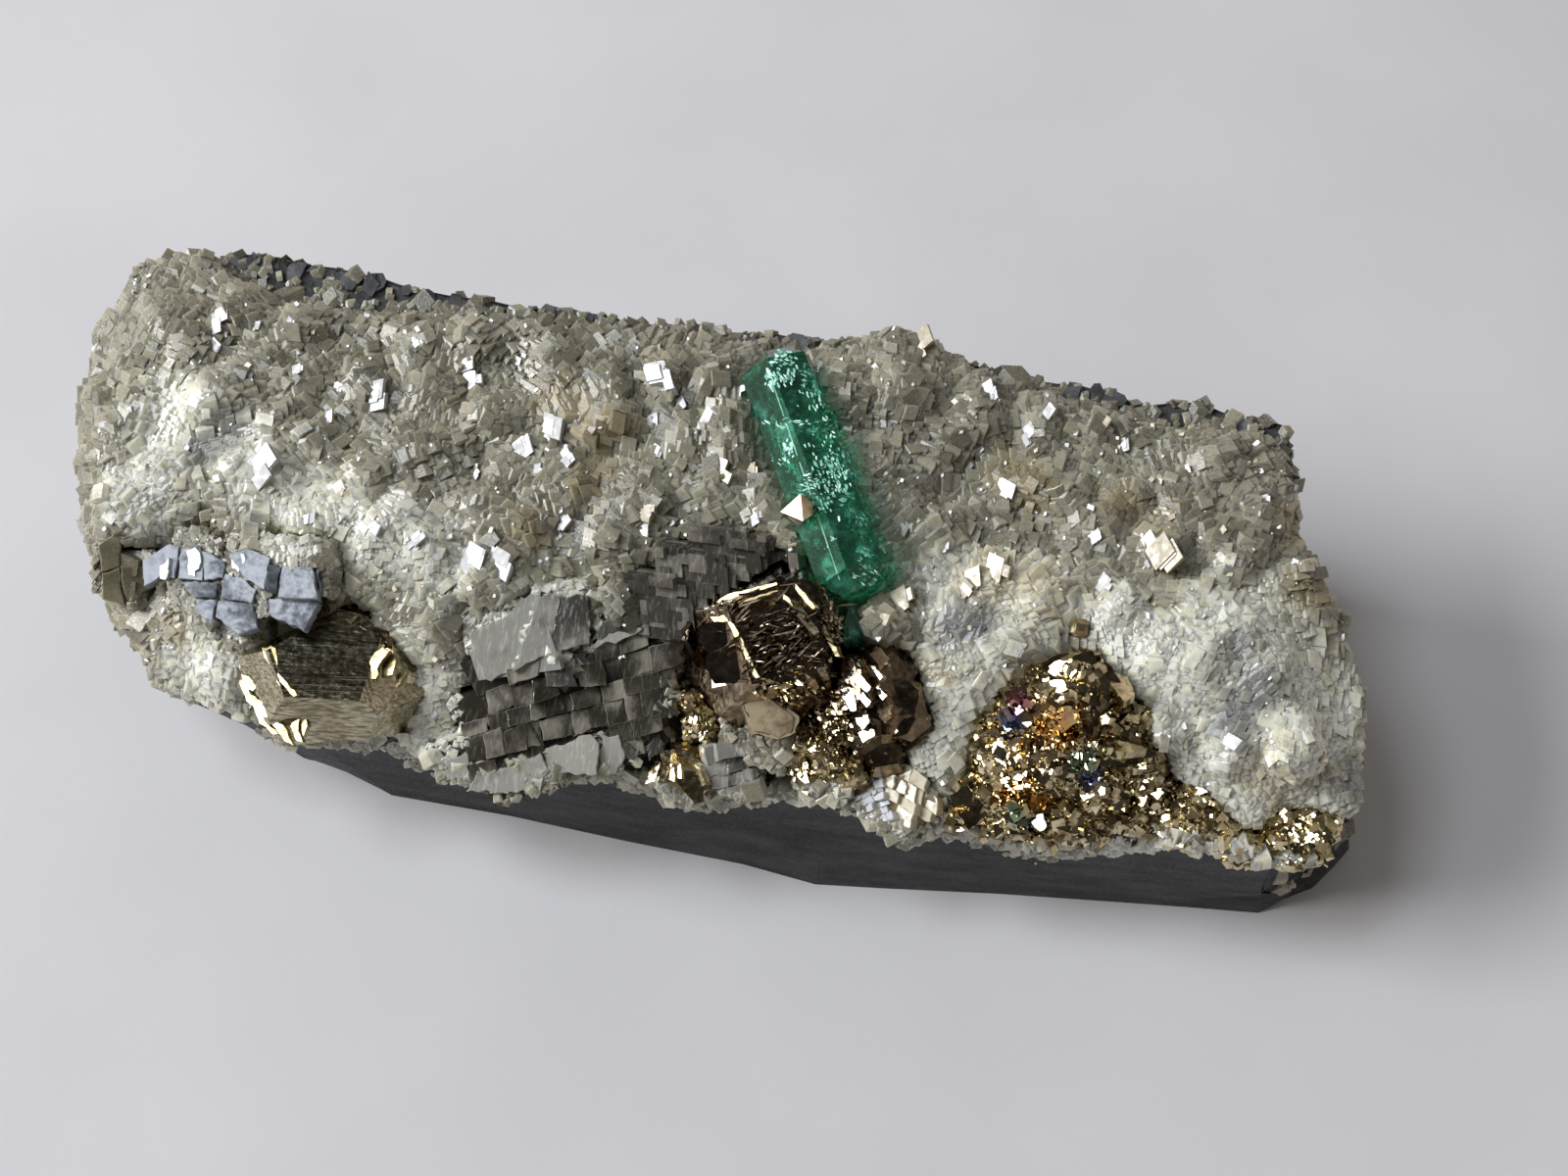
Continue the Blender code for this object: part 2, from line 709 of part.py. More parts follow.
SWIRLED_BLOCKS = (
    (
        (4.7, -11.2, 14.0),
        (0.0, -0.62, 0.78),
        (0.95, -0.2, 0.1),
        (-1.6, 1.5),
        (-2.4, 2.2),
        (-1.7, 1.7),
    ),
)
CLEAR_BLOCKS = (
    (
        (2.9, -13.2, 12.6),
        (0.1, -0.55, 0.83),
        (0.98, 0.2, -0.1),
        (-2.0, 1.0),
        (-1.7, 1.6),
        (-1.9, 1.8),
    ),
    (
        (1.2, -12.4, 12.8),
        (-0.2, -0.6, 0.78),
        (0.9, 0.4, -0.1),
        (-2.0, 0.9),
        (-1.6, 1.5),
        (-1.6, 1.5),
    ),
)
BRIGHT_BLOCKS = (
    (
        (14.4, -13.6, 11.4),
        (-0.1, -0.5, 0.86),
        (0.8, -0.5, 0.1),
        (-1.8, 1.1),
        (-2.1, 2.0),
        (-2.0, 1.9),
    ),
)


def upright(ends, ridge_toward):
    """Frame of a prism that runs between two points, with one of its edges toward a direction."""
    start, end = (mm(*point) for point in ends)
    axes = square_axes(end - start, ridge_toward)
    frame = Matrix((axes.col[2], axes.col[1], axes.col[0])).transposed().to_4x4()
    return Matrix.Translation((start + end) / 2) @ frame, (end - start).length / 2


def beryl(ends, inradius, ridge_toward):
    """One emerald prism as a group."""
    frame, half_length = upright(ends, ridge_toward)
    planes = hexagonal_prism(inradius * MM, half_length, EMERALD_BEVEL, EMERALD_BEVEL_SHARE)
    return [(planes, frame)]


def stepped_group():
    """Terraces of one pyritohedron, each smaller and higher, and two cubes at their left."""
    side = PYRITOHEDRON[1]
    group = []
    for x, y, z, inradius in STEPPED_TERRACES:
        at = Vector(STEPPED_AT) + Vector((x, y, z))
        frame = facing(at, PYRITOHEDRON[0], STEPPED_TOWARD, side, STEPPED_SIDE)
        group.append((pyritohedron(inradius * MM), frame))
    for x, y, z, inradius in STEPPED_CUBES:
        frame = facing(
            (x, y, z), CUBE[0], STEPPED_CUBES_TOWARD, CUBE[2], STEPPED_CUBES_SIDE
        )
        group.append((truncated_cube(inradius * MM), frame))
    return group


def faceted_group():
    """Mirror-faced pyritohedra, each with one face turned a given way."""
    group = []
    for k, (x, y, z, inradius, toward) in enumerate(FACETED):
        side = (math.cos(k), math.sin(k), 0.3)
        frame = facing((x, y, z), PYRITOHEDRON[0], toward, PYRITOHEDRON[1], side)
        group.append((pyritohedron(inradius * MM), frame))
    return group


def striated_group():
    """The one crystal that is bounded by its own faces."""
    planes = [
        (Vector((x, y, z)).normalized(), distance * MM) for x, y, z, distance in STRIATED_FACES
    ]
    return [(planes, Matrix.Translation(mm(*STRIATED_AT)))]


def single(form, at, normal, toward, side, side_toward):
    """A group of one crystal, turned as facing() says."""
    return [(form, facing(at, normal, toward, side, side_toward))]


def smoky_group():
    """The row of equal blocks behind the stepped pyrite."""
    return blocks(
        ((x, y, z), SMOKY_TOWARD, SMOKY_SIDE, *[(-size, size)] * 3)
        for x, y, z, size in SMOKY_CUBES
    )


def large_crystals():
    """(node, material, group) of every crystal piece; each gives way to those before it."""
    front = pyritohedron(FRONT_INRADIUS * MM)
    bead = truncated_cube(BEAD_INRADIUS * MM)
    tiny = octahedron(OCTAHEDRON_INRADIUS * MM)
    front_place = (FRONT_AT, PYRITOHEDRON[0], FRONT_TOWARD, PYRITOHEDRON[1], FRONT_SIDE)
    bead_place = (BEAD_AT, CUBE[0], BEAD_TOWARD, CUBE[2], BEAD_SIDE)
    tiny_place = (
        OCTAHEDRON_AT, OCTAHEDRON[0], OCTAHEDRON_TOWARD, OCTAHEDRON[1], OCTAHEDRON_SIDE
    )
    emerald = beryl(EMERALD_ENDS, EMERALD_INRADIUS, RIDGE_TURN)
    small_emerald = beryl(SMALL_EMERALD_ENDS, SMALL_EMERALD_INRADIUS, UP_FRONT)
    return (
        ("striated_pyrite", "pyrite", striated_group()),
        ("stepped_pyrite", "bronze_pyrite", stepped_group()),
        ("faceted_pyrite", "bronze_pyrite", faceted_group()),
        ("golden_pyrite", "pyrite", grains(3, GOLDEN)),
        ("front_pyrite", "pyrite", single(front, *front_place)),
        ("pyrite_nugget", "pyrite", grains(5, NUGGET)),
        ("tarnished_pyrite", "tarnished_pyrite", grains(11, TARNISHED)),
        ("trailing_pyrite", "pyrite", grains(13, TRAILING)),
        ("end_pyrite", "pyrite", grains(17, END_GROUP)),
        ("pyrite_bead", "pyrite", single(bead, *bead_place)),
        ("emerald_crystal", "emerald", emerald),
        ("small_emerald", "emerald", small_emerald),
        ("pyrite_octahedron", "bronze_pyrite", single(tiny, *tiny_place)),
        ("mosaic_calcite", "grey_calcite", mosaic(**MOSAIC)),
        ("corner_calcite", "smoky_calcite", blocks(CORNER_BLOCKS)),
        ("blocky_calcite", "smoky_calcite", mosaic(**BLOCKY)),
        ("pale_calcite", "pale_calcite", blocks(PALE_BLOCKS)),
        ("smoky_calcite", "smoky_calcite", smoky_group()),
        ("swirled_calcite", "pale_calcite", blocks(SWIRLED_BLOCKS)),
        ("clear_calcite", "grey_calcite", blocks(CLEAR_BLOCKS)),
        ("bright_calcite", "pale_calcite", blocks(BRIGHT_BLOCKS)),
    )


# ---------------------------------------------------------------- slab and druse


def terrain(name, height, cell, collection):
    """A solid block whose upper side follows height(x, y)."""
    half_x, half_y = TERRAIN_HALF
    count_x = round(2 * half_x / cell)
    count_y = round(2 * half_y / cell)
    bm = bmesh.new()
    rows = []
    for j in range(count_y + 1):
        y = -half_y + 2 * half_y * j / count_y
        row = []
        for i in range(count_x + 1):
            x = -half_x + 2 * half_x * i / count_x
            row.append(bm.verts.new(mm(x, y, height(x, y))))
        rows.append(row)
    for j in range(count_y):
        for i in range(count_x):
            corners = (rows[j][i], rows[j][i + 1], rows[j + 1][i + 1], rows[j + 1][i])
            bm.faces.new((corners[0], corners[1], corners[2]))
            bm.faces.new((corners[0], corners[2], corners[3]))
    rim = [edge for edge in bm.edges if edge.is_boundary]
    walls = bmesh.ops.extrude_edge_only(bm, edges=rim)["geom"]
    for vert in walls:
        if isinstance(vert, bmesh.types.BMVert):
            vert.co.z = TERRAIN_FLOOR * MM
    bmesh.ops.edgeloop_fill(bm, edges=[edge for edge in bm.edges if edge.is_boundary])
    return object_from(name, bm, collection)


def druse_prism(name, collection):
    """An upright prism on the druse's outline, whose edge wanders a little."""
    rng = random.Random(SEED)
    bm = bmesh.new()
    verts = []
    for i, (x1, y1, _) in enumerate(DRUSE_OUTLINE):
        x2, y2, _ = DRUSE_OUTLINE[(i + 1) % len(DRUSE_OUTLINE)]
        for k in range(PRISM_STEPS):
            share = k / PRISM_STEPS
            x = x1 + (x2 - x1) * share + rng.uniform(-PRISM_WANDER, PRISM_WANDER)
            y = y1 + (y2 - y1) * share + rng.uniform(-PRISM_WANDER, PRISM_WANDER)
            verts.append(bm.verts.new(mm(x, y, PRISM_BOTTOM)))
    face = bm.faces.new(verts)
    walls = bmesh.ops.extrude_face_region(bm, geom=[face])["geom"]
    for vert in walls:
        if isinstance(vert, bmesh.types.BMVert):
            vert.co.z = PRISM_TOP * MM
    return object_from(name, bm, collection)


def druse_crystals():
    """Small calcite rhombs scattered over the druse, with their upper parts out of it."""
    rng = random.Random(SEED)
    group = []
    x_start, y_start = DRUSE_START
    x_count, y_count = DRUSE_COUNT
    for j in range(y_count):
        for i in range(x_count):
            x = x_start + DRUSE_CELL * (i + j % 2 / 2) + rng.uniform(-DRUSE_JITTER, DRUSE_JITTER)
            y = y_start + DRUSE_ROW * j + rng.uniform(-DRUSE_JITTER, DRUSE_JITTER)
            inradius = rng.uniform(*DRUSE_INRADIUS)
            tilt = [math.radians(rng.uniform(-DRUSE_TILT, DRUSE_TILT)) for _ in range(2)]
            turn = Euler((*tilt, rng.uniform(0, 2 * math.pi))).to_matrix().to_4x4()
            if not in_ring(x, y, DRUSE_OUTLINE) or nearest_edge(x, y)[0] < DRUSE_MARGIN:
                continue
            if any(math.hypot(x - cx, y - cy) < reach for cx, cy, reach in DRUSE_CLEAR):
                continue
            depth = DRUSE_SUNK * inradius
            frame = Matrix.Translation(mm(x, y, druse_top(x, y) - depth)) @ turn
            group.append((rhomb(inradius * MM), frame))
    return group


def shale_slab(name, collection):
    """The slab: rings of points from the sawn foot up, rough where the rock is broken."""
    rng = random.Random(SEED)
    count = len(SHALE_STATIONS)
    stations = []
    for i, first in enumerate(SHALE_STATIONS):
        second = SHALE_STATIONS[(i + 1) % count]
        for k in range(SHALE_SIDE_STEPS):
            share = k / SHALE_SIDE_STEPS
            station = [a + (b - a) * share for a, b in zip(first, second)]
            stations.append((*station, 0.0 if i in SAWN_STATIONS else 1.0))
    bm = bmesh.new()
    rings = []
    for share in SHALE_RINGS:
        ring = []
        for foot_x, foot_y, rim_x, rim_y, rim_z, broken in stations:
            rough = SHALE_ROUGHNESS * broken * (1.0 if share else SHALE_FOOT_ROUGHNESS)
            x = foot_x + (rim_x - foot_x) * share + rng.uniform(-rough, rough)
            y = foot_y + (rim_y - foot_y) * share + rng.uniform(-rough, rough)
            z = rim_z * share + (rng.uniform(-rough, rough) if share else 0.0)
            ring.append(bm.verts.new(mm(x, y, z)))
        rings.append(ring)
    for height in SHALE_RIM_RINGS:
        ring = []
        for _, _, rim_x, rim_y, rim_z, broken in stations:
            rough = SHALE_ROUGHNESS * broken
            x = rim_x + rng.uniform(-rough, rough)
            y = rim_y + rng.uniform(-rough, rough)
            z = max(height, rim_z + SHALE_RIM_CLEARANCE)
            ring.append(bm.verts.new(mm(x, y, z)))
        rings.append(ring)
    for lower, upper in zip(rings, rings[1:]):
        for i in range(len(lower)):
            k = (i + 1) % len(lower)
            bm.faces.new((lower[i], lower[k], upper[k]))
            bm.faces.new((lower[i], upper[k], upper[i]))
    bm.faces.new(rings[0])
    bm.faces.new(rings[-1])
    return object_from(name, bm, collection)


# ---------------------------------------------------------------- building


def group_object(name, group, grow, collection):
    """One mesh object of all the crystals of a group."""
    bm = bmesh.new()
    for planes, frame in group:
        add_crystal(bm, planes, frame, grow)
    return object_from(name, bm, collection)


def intergrown(name, group, grow, collection, cutters, gives_way_to=()):
    """The crystals of a group joined in one body, less the sockets it gives way to."""
    obj = group_object(name, group[:1], grow, collection)
    if len(group) > 1:
        boolean(obj, group_object(f"rest_{name}", group[1:], grow, cutters), "UNION")
    for socket in gives_way_to:
        boolean(obj, socket, "DIFFERENCE")
    settle(obj)
    return obj


def boxes_meet(first, second):
    """True if the bounding boxes of two objects' meshes meet."""
    corners = []
    for obj in (first, second):
        points = [vert.co for vert in obj.data.vertices]
        corners.append([(min(p[k] for p in points), max(p[k] for p in points)) for k in range(3)])
    return all(a[0] <= b[1] and b[0] <= a[1] for a, b in zip(*corners))


def joined(name, objects, collection):
    """One mesh object that holds copies of several objects' meshes."""
    bm = bmesh.new()
    for obj in objects:
        bm.from_mesh(obj.data)
    return object_from(name, bm, collection)


def parent_to_empty(name, objects, collection):
    """An empty at the origin that carries the objects."""
    empty = bpy.data.objects.new(name, None)
    collection.objects.link(empty)
    for obj in objects:
        obj.parent = empty


def give_material(obj, material):
    obj.data.materials.clear()
    obj.data.materials.append(material)


def build():
    clear_scene()
    pieces = new_collection("emerald_in_matrix")
    cutters = new_collection("cutters")
    materials = {name: new_material(name, *values) for name, values in MATERIALS.items()}

    sockets = []
    for name, material, group in large_crystals():
        socket = intergrown(f"socket_{name}", group, GAP, cutters, cutters)
        cut_by = [other for other in sockets if boxes_meet(socket, other)]
        obj = intergrown(name, group, 0.0, pieces, cutters, cut_by)
        give_material(obj, materials[material])
        sockets.append(socket)

    bed = terrain("bed", bed_top, BED_CELL, cutters)
    top = terrain("druse_surface", druse_top, TOP_CELL, cutters)
    raised = terrain("raised_bed", lambda x, y: bed_top(x, y) + GAP / MM, BED_CELL, cutters)
    shale = shale_slab("shale_matrix", pieces)
    boolean(shale, bed, "INTERSECT")
    druse = druse_prism("calcite_druse", pieces)
    boolean(druse, top, "INTERSECT")
    boolean(druse, group_object("small_rhombs", druse_crystals(), 0.0, cutters), "UNION")
    boolean(druse, raised, "DIFFERENCE")
    all_sockets = joined("all_sockets", sockets, cutters)
    boolean(shale, all_sockets, "DIFFERENCE")
    boolean(druse, all_sockets, "DIFFERENCE")
    for obj, material in ((shale, "shale"), (druse, "calcite")):
        settle(obj)
        give_material(obj, materials[material])

    for obj in cutters.objects:
        obj.hide_render = True
        obj.display_type = "WIRE"
    parent_to_empty("specimen", list(pieces.objects), pieces)


build()
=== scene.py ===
"""Emerald in matrix: the finish of the specimen, its fine crystals, and a plain studio to see it in.

Everything is in metres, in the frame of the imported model. Places that were read off the photograph
are pixels of its 1600 x 1200 frame, and every one is cast onto the solid that lies there.
"""

import math

import bmesh
import bpy
import numpy as np
from mathutils import Matrix, Vector, noise
from mathutils.bvhtree import BVHTree
from mathutils.kdtree import KDTree


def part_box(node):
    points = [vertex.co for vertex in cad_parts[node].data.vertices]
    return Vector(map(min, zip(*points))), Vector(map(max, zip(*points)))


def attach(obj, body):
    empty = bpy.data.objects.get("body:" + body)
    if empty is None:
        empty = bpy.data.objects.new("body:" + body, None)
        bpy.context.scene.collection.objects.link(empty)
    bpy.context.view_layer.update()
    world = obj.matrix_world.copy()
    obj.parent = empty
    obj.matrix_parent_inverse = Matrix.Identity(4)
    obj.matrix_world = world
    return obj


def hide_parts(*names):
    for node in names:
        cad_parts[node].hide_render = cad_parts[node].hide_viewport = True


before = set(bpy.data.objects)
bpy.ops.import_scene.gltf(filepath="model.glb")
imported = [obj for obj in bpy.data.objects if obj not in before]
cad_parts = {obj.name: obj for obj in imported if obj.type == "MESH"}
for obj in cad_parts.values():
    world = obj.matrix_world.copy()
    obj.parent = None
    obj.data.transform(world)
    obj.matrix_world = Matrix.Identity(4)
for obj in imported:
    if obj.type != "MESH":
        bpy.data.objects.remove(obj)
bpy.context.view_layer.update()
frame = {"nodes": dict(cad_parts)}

MM = 0.001
NODES = frame["nodes"]

# ---------------------------------------------------------------- camera and photograph

PHOTO_WIDTH, PHOTO_HEIGHT = 1600, 1200
LENS, SENSOR = 50.0, 36.0
VIEW_AZIMUTH = math.radians(9.3)
VIEW_ELEVATION = math.radians(60.0)
CAMERA_AT = Vector((16.475, -75.787, 146.693)) * MM

TO_CAMERA = Vector(
    (
        math.sin(VIEW_AZIMUTH) * math.cos(VIEW_ELEVATION),
        -math.cos(VIEW_AZIMUTH) * math.cos(VIEW_ELEVATION),
        math.sin(VIEW_ELEVATION),
    )
)
CAMERA_RIGHT = Vector((math.cos(VIEW_AZIMUTH), math.sin(VIEW_AZIMUTH), 0.0))
CAMERA_UP = TO_CAMERA.cross(CAMERA_RIGHT)

# ---------------------------------------------------------------- light

WINDOW_TOWARD = Vector((-0.81, -0.12, 0.57)).normalized()  # the main light, on the left
WINDOW_DISTANCE = 1.0
WINDOW_SIZE = (0.46, 0.46)
WINDOW_POWER = 8.4
SKY_TOWARD = Vector((-0.382, -0.034, 0.923)).normalized()  # a cool panel overhead on the left
SKY_DISTANCE = 0.55
SKY_SIZE = (0.16, 0.16)
SKY_POWER = 0.75
ROOM_LOW = (0.60, 0.55, 0.505)  # the room's light from the horizon and from overhead
ROOM_HIGH = (0.04, 0.038, 0.036)
ROOM_FRONT, ROOM_BACK = 0.30, 1.2  # the room is darker on the side of whoever looks

# ---------------------------------------------------------------- calcite

RHOMB_LEAN = math.radians(44.6)  # a cleavage face's normal stands this far from the crystal's axis
LONERS = 0.3  # the share of druse crystals that ignore their neighbours
PATCH_SPREAD = math.radians(16)
PATCH_EDGE = 1.2 * MM
SOFTENING = 0.6
GLINTS = 1000
BACK_CRYSTALS = 42000
LARGEST = 0.48  # centre to face of the largest druse crystals, in millimetres
CRUST_VOXEL = 0.55 * MM
CRUST_SMOOTHING = 16

# Places that the photograph shows, as x, y and reach in millimetres.
MILKY = (
    (190, 440, 4.0),
    (150, 500, 3.5),
    (260, 470, 3.0),
    (310, 520, 3.5),
    (385, 540, 3.5),
    (440, 560, 3.0),
    (190, 655, 2.6),
    (215, 690, 4.0),
    (430, 720, 4.5),
    (560, 630, 3.5),
    (990, 600, 3.5),
    (1040, 610, 3.5),
    (985, 700, 3.5),
    (975, 770, 3.5),
    (1205, 690, 5.0),
    (1260, 650, 4.5),
    (1300, 790, 5.5),
    (1340, 720, 5.0),
    (1370, 830, 4.0),
    (1230, 780, 5.0),
    (1150, 640, 3.0),
    (830, 830, 3.0),
    (1180, 865, 4.0),
)
OCHRE = (
    (560, 400, 1.6),
    (585, 420, 1.5),
    (605, 437, 1.6),
    (630, 425, 1.3),
    (600, 480, 1.5),
    (590, 500, 1.3),
    (540, 540, 1.4),
    (1030, 490, 1.7),
    (1055, 505, 1.6),
    (1140, 515, 1.7),
    (1190, 530, 1.6),
    (1320, 540, 1.8),
    (1335, 600, 1.6),
    (1060, 600, 2.2),
    (1010, 590, 2.2),
    (1300, 790, 2.4),
    (960, 690, 1.5),
    (180, 640, 1.6),
)
# Places where the calcite is painted dark grey; the two at the left end paint the shade on a hump of the crust.
GREY_PLACES = (
    (235, 440, 1.8),
    (210, 460, 1.5),
    (975, 635, 1.6),
    (1000, 640, 1.5),
    (1265, 660, 1.6),
    (1285, 700, 2.0),
    (1255, 735, 1.8),
    (1375, 650, 1.8),
    (1385, 800, 1.8),
)

# Faces that mirror the window: x, y, half width in millimetres and turn in degrees.
FLASHES = (
    (226, 326, 0.75, 20),
    (219, 352, 0.65, 60),
    (261, 334, 0.45, 0),
    (298, 332, 0.6, 70),
    (304, 379, 0.55, 15),
    (347, 397, 0.6, 80),
    (384, 404, 0.95, 10),
    (425, 350, 0.4, 30),
    (478, 372, 0.75, 15),
    (482, 391, 0.8, 100),
    (528, 367, 0.6, 75),
    (533, 456, 0.95, 35),
    (270, 479, 1.1, 50),
    (315, 528, 0.6, 15),
    (385, 539, 0.6, 65),
    (427, 555, 0.7, 40),
    (436, 511, 0.6, 5),
    (486, 485, 0.5, 60),
    (106, 434, 0.45, 10),
    (101, 359, 0.5, 40),
    (485, 572, 1.15, 75),
    (510, 574, 0.9, 75),
    (677, 388, 1.0, 110),
    (693, 410, 0.6, 40),
    (667, 432, 0.75, 20),
    (722, 427, 1.0, 65),
    (564, 443, 1.15, 85),
    (578, 470, 0.7, 45),
    (551, 480, 0.6, 10),
    (672, 464, 0.5, 70),
    (575, 534, 0.8, 50),
    (658, 534, 0.75, 85),
    (657, 547, 0.7, 85),
    (620, 617, 0.9, 80),
    (774, 525, 0.6, 30),
    (755, 400, 0.5, 15),
    (895, 378, 0.4, 50),
    (926, 448, 0.45, 20),
    (924, 541, 0.45, 65),
    (962, 560, 0.4, 5),
    (1010, 401, 0.75, 30),
    (1067, 421, 0.65, 55),
    (1049, 446, 0.65, 40),
    (999, 449, 0.6, 95),
    (1145, 453, 0.65, 20),
    (1028, 501, 0.75, 75),
    (1117, 547, 0.6, 30),
    (1127, 597, 0.65, 60),
    (1291, 512, 0.5, 10),
    (1313, 469, 0.45, 45),
    (1320, 575, 0.4, 80),
    (867, 632, 0.8, 35),
)
WARM_FLASHES = (
    (738, 480, 0.8, 70),
    (769, 482, 0.7, 15),
    (942, 352, 1.0, 35),
    (919, 617, 1.2, 30),
    (988, 604, 0.7, 60),
    (1185, 564, 1.3, 45),
    (1016, 583, 1.0, 80),
    (998, 590, 0.9, 20),
    (660, 521, 0.7, 85),
)

LONGEST = 2.5  # a plate seen too nearly edge-on would stretch past this many times its width
WINDOW_NEAR = 0.86  # a face mirrors a light if its mirrored direction comes this close to it
SKY_NEAR = 0.95

# What a polished face mirrors toward the camera, as directions from it.
MIRRORS = {
    "sky": SKY_TOWARD,
    "overhead": Vector((0.0, 0.15, 1.0)),
    "camera": TO_CAMERA,
    "left": Vector((-0.95, -0.20, 0.12)),
    "right": Vector((0.90, -0.20, 0.20)),
    "front": Vector((0.20, -0.95, 0.02)),
    "back": Vector((0.10, 0.90, 0.25)),
    "paper": Vector((0.05, -0.90, -0.25)),
}

# The large striated crystal: each plane's name, outward normal, a pixel, and the plane it lies on.
STRIATED_PLANES = (
    ("top", (0.10, -0.08, 0.992), 335, 672, ""),
    ("front", (0.17, -0.87, 0.465), 326, 713, "top"),
    ("left", (-0.59, -0.47, 0.66), 287, 703, "top"),
    ("right", (0.62, -0.10, 0.78), 377, 685, "top"),
    ("upper right", (0.60, 0.45, 0.66), 386, 646, "top"),
    ("upper left", (-0.50, 0.50, 0.70), 300, 648, "top"),
    ("back", (0.10, 0.90, 0.42), 345, 621, "top"),
    ("far left", (-0.95, -0.10, 0.10), 243, 690, "left"),
    ("low left", (-0.62, -0.75, -0.20), 272, 738, "left"),
    ("low right", (0.75, -0.60, 0.10), 388, 722, "front"),
    ("low front", (0.20, -0.80, -0.56), 340, 757, "front"),
)

# Faces traced in the photograph: what each mirrors, its tone, and its corners in pixels. The tone follows how light
# the face shows, so where a calcite material reads it, it paints light and shade into the face's colour.
STRIATED_GOLD = (
    ("window", 0.9, ((268, 662), (277, 659), (282, 666), (283, 684), (276, 680), (271, 670))),
    ("window", 0.7, ((283, 686), (303, 709), (300, 711), (284, 694))),
    ("window", 0.9, ((243, 694), (249, 694), (256, 708), (266, 716), (276, 732), (268, 731), (252, 715))),
    ("window", 0.8, ((256, 717), (266, 724), (274, 739), (284, 748), (278, 749), (266, 738))),
    ("window", 0.9, ((276, 736), (284, 737), (292, 745), (299, 760), (292, 757), (284, 748))),
    ("window", 0.9, ((296, 742), (300, 733), (306, 729), (304, 745), (308, 757), (301, 755))),
    ("window", 0.8, ((308, 735), (312, 732), (313, 741), (309, 750))),
    ("window", 0.9, ((247, 688), (254, 690), (262, 701), (258, 705), (251, 699))),
    ("window", 1.0, ((375, 693), (377, 676), (383, 666), (391, 661), (396, 666), (387, 676), (384, 692))),
    ("window", 1.0, ((392, 661), (401, 664), (404, 676), (400, 688), (388, 692), (387, 682), (396, 670))),
    ("window", 0.9, ((354, 635), (362, 627), (365, 629), (357, 637))),
    ("window", 0.8, ((332, 619), (338, 618), (339, 622), (333, 623))),
    ("window", 0.7, ((402, 698), (412, 684), (415, 686), (405, 702))),
)
STRIATED_RIM = (
    ("left", 0.4, ((312, 640), (318, 628), (330, 618), (333, 623), (322, 634), (314, 643))),
    ("overhead", 0.3, ((334, 606), (350, 603), (374, 612), (388, 622), (380, 626), (352, 614), (336, 614))),
    ("back", 0.4, ((352, 615), (378, 626), (396, 642), (402, 660), (396, 657), (386, 643), (364, 630))),
    ("overhead", 0.2, ((366, 630), (386, 644), (394, 656), (388, 657), (376, 645), (366, 638))),
)
STEPPED_ARCS = (
    ("window", 0.9, ((727, 616), (740, 607), (768, 600), (792, 594), (793, 597), (769, 604), (742, 612))),
    ("left", 0.8, ((716, 634), (722, 627), (745, 617), (792, 602), (794, 603), (760, 615), (728, 630))),
    ("window", 1.0, ((803, 590), (812, 597), (822, 606), (832, 620), (829, 622), (819, 610), (808, 598))),
    ("window", 1.0, ((830, 619), (839, 634), (848, 651), (857, 670), (853, 670), (843, 651), (835, 636))),
    ("window", 1.0, ((742, 634), (747, 635), (754, 646), (752, 652), (748, 646))),
    ("window", 1.0, ((752, 650), (757, 651), (761, 663), (766, 672), (762, 674), (757, 663))),
    ("window", 1.0, ((762, 672), (766, 671), (770, 681), (775, 691), (771, 692), (765, 682))),
    ("window", 0.8, ((726, 630), (738, 628), (745, 632), (738, 635), (728, 634))),
    ("window", 0.7, ((796, 604), (804, 610), (812, 624), (809, 624), (800, 612))),
)
STEPPED_DARK = (
    ("camera", 0.2, ((712, 640), (724, 635), (743, 637), (751, 655), (722, 666), (714, 656))),
    ("camera", 0.1, ((722, 668), (752, 658), (768, 688), (750, 697), (729, 697), (719, 682))),
    ("camera", 0.6, ((762, 640), (798, 613), (812, 630), (776, 652))),
    ("back", 0.5, ((798, 603), (812, 611), (836, 645), (830, 648), (806, 622))),
    ("right", 0.2, ((700, 644), (707, 634), (712, 655), (722, 684), (714, 680), (704, 660))),
)
FACETED_LIT = (
    ("window", 1.0, ((860, 680), (867, 680), (889, 700), (885, 706), (863, 689))),
    ("window", 0.9, ((855, 693), (864, 694), (871, 708), (874, 724), (868, 726), (860, 711))),
    ("window", 1.0, ((872, 728), (883, 722), (887, 736), (880, 744), (875, 738))),
    ("window", 0.9, ((876, 747), (892, 744), (893, 750), (880, 757))),
    ("window", 0.8, ((893, 702), (897, 700), (903, 711), (900, 715))),
    ("window", 0.7, ((889, 680), (892, 679), (901, 692), (898, 694))),
    ("window", 0.7, ((876, 712), (881, 707), (888, 716), (884, 721))),
)
FACETED_DARK = (
    ("right", 0.4, ((888, 668), (898, 660), (918, 684), (904, 692))),
    ("camera", 0.5, ((904, 697), (921, 691), (938, 704), (934, 731), (911, 729))),
    ("back", 0.5, ((865, 668), (884, 669), (891, 686), (874, 681))),
    ("left", 0.3, ((893, 716), (905, 704), (909, 730), (903, 738), (894, 730))),
    ("overhead", 0.1, ((871, 725), (891, 703), (894, 706), (874, 729))),
    ("camera", 0.3, ((908, 734), (934, 735), (926, 750), (912, 752))),
)
FRONT_FACES = (
    ("window", 1.0, ((659, 799), (661, 789), (672, 774), (675, 780), (669, 797))),
    ("window", 1.0, ((684, 780), (688, 780), (688, 798), (684, 796))),
    ("window", 0.8, ((691, 780), (694, 779), (695, 794), (692, 794))),
    ("overhead", 0.5, ((674, 767), (696, 764), (718, 776), (712, 782), (696, 772), (676, 778))),
    ("overhead", 0.2, ((676, 782), (683, 780), (683, 796), (672, 799))),
    ("camera", 0.3, ((690, 798), (697, 780), (708, 784), (718, 802), (718, 818), (709, 820))),
    ("left", 0.5, ((703, 778), (714, 782), (720, 800), (716, 802))),
)
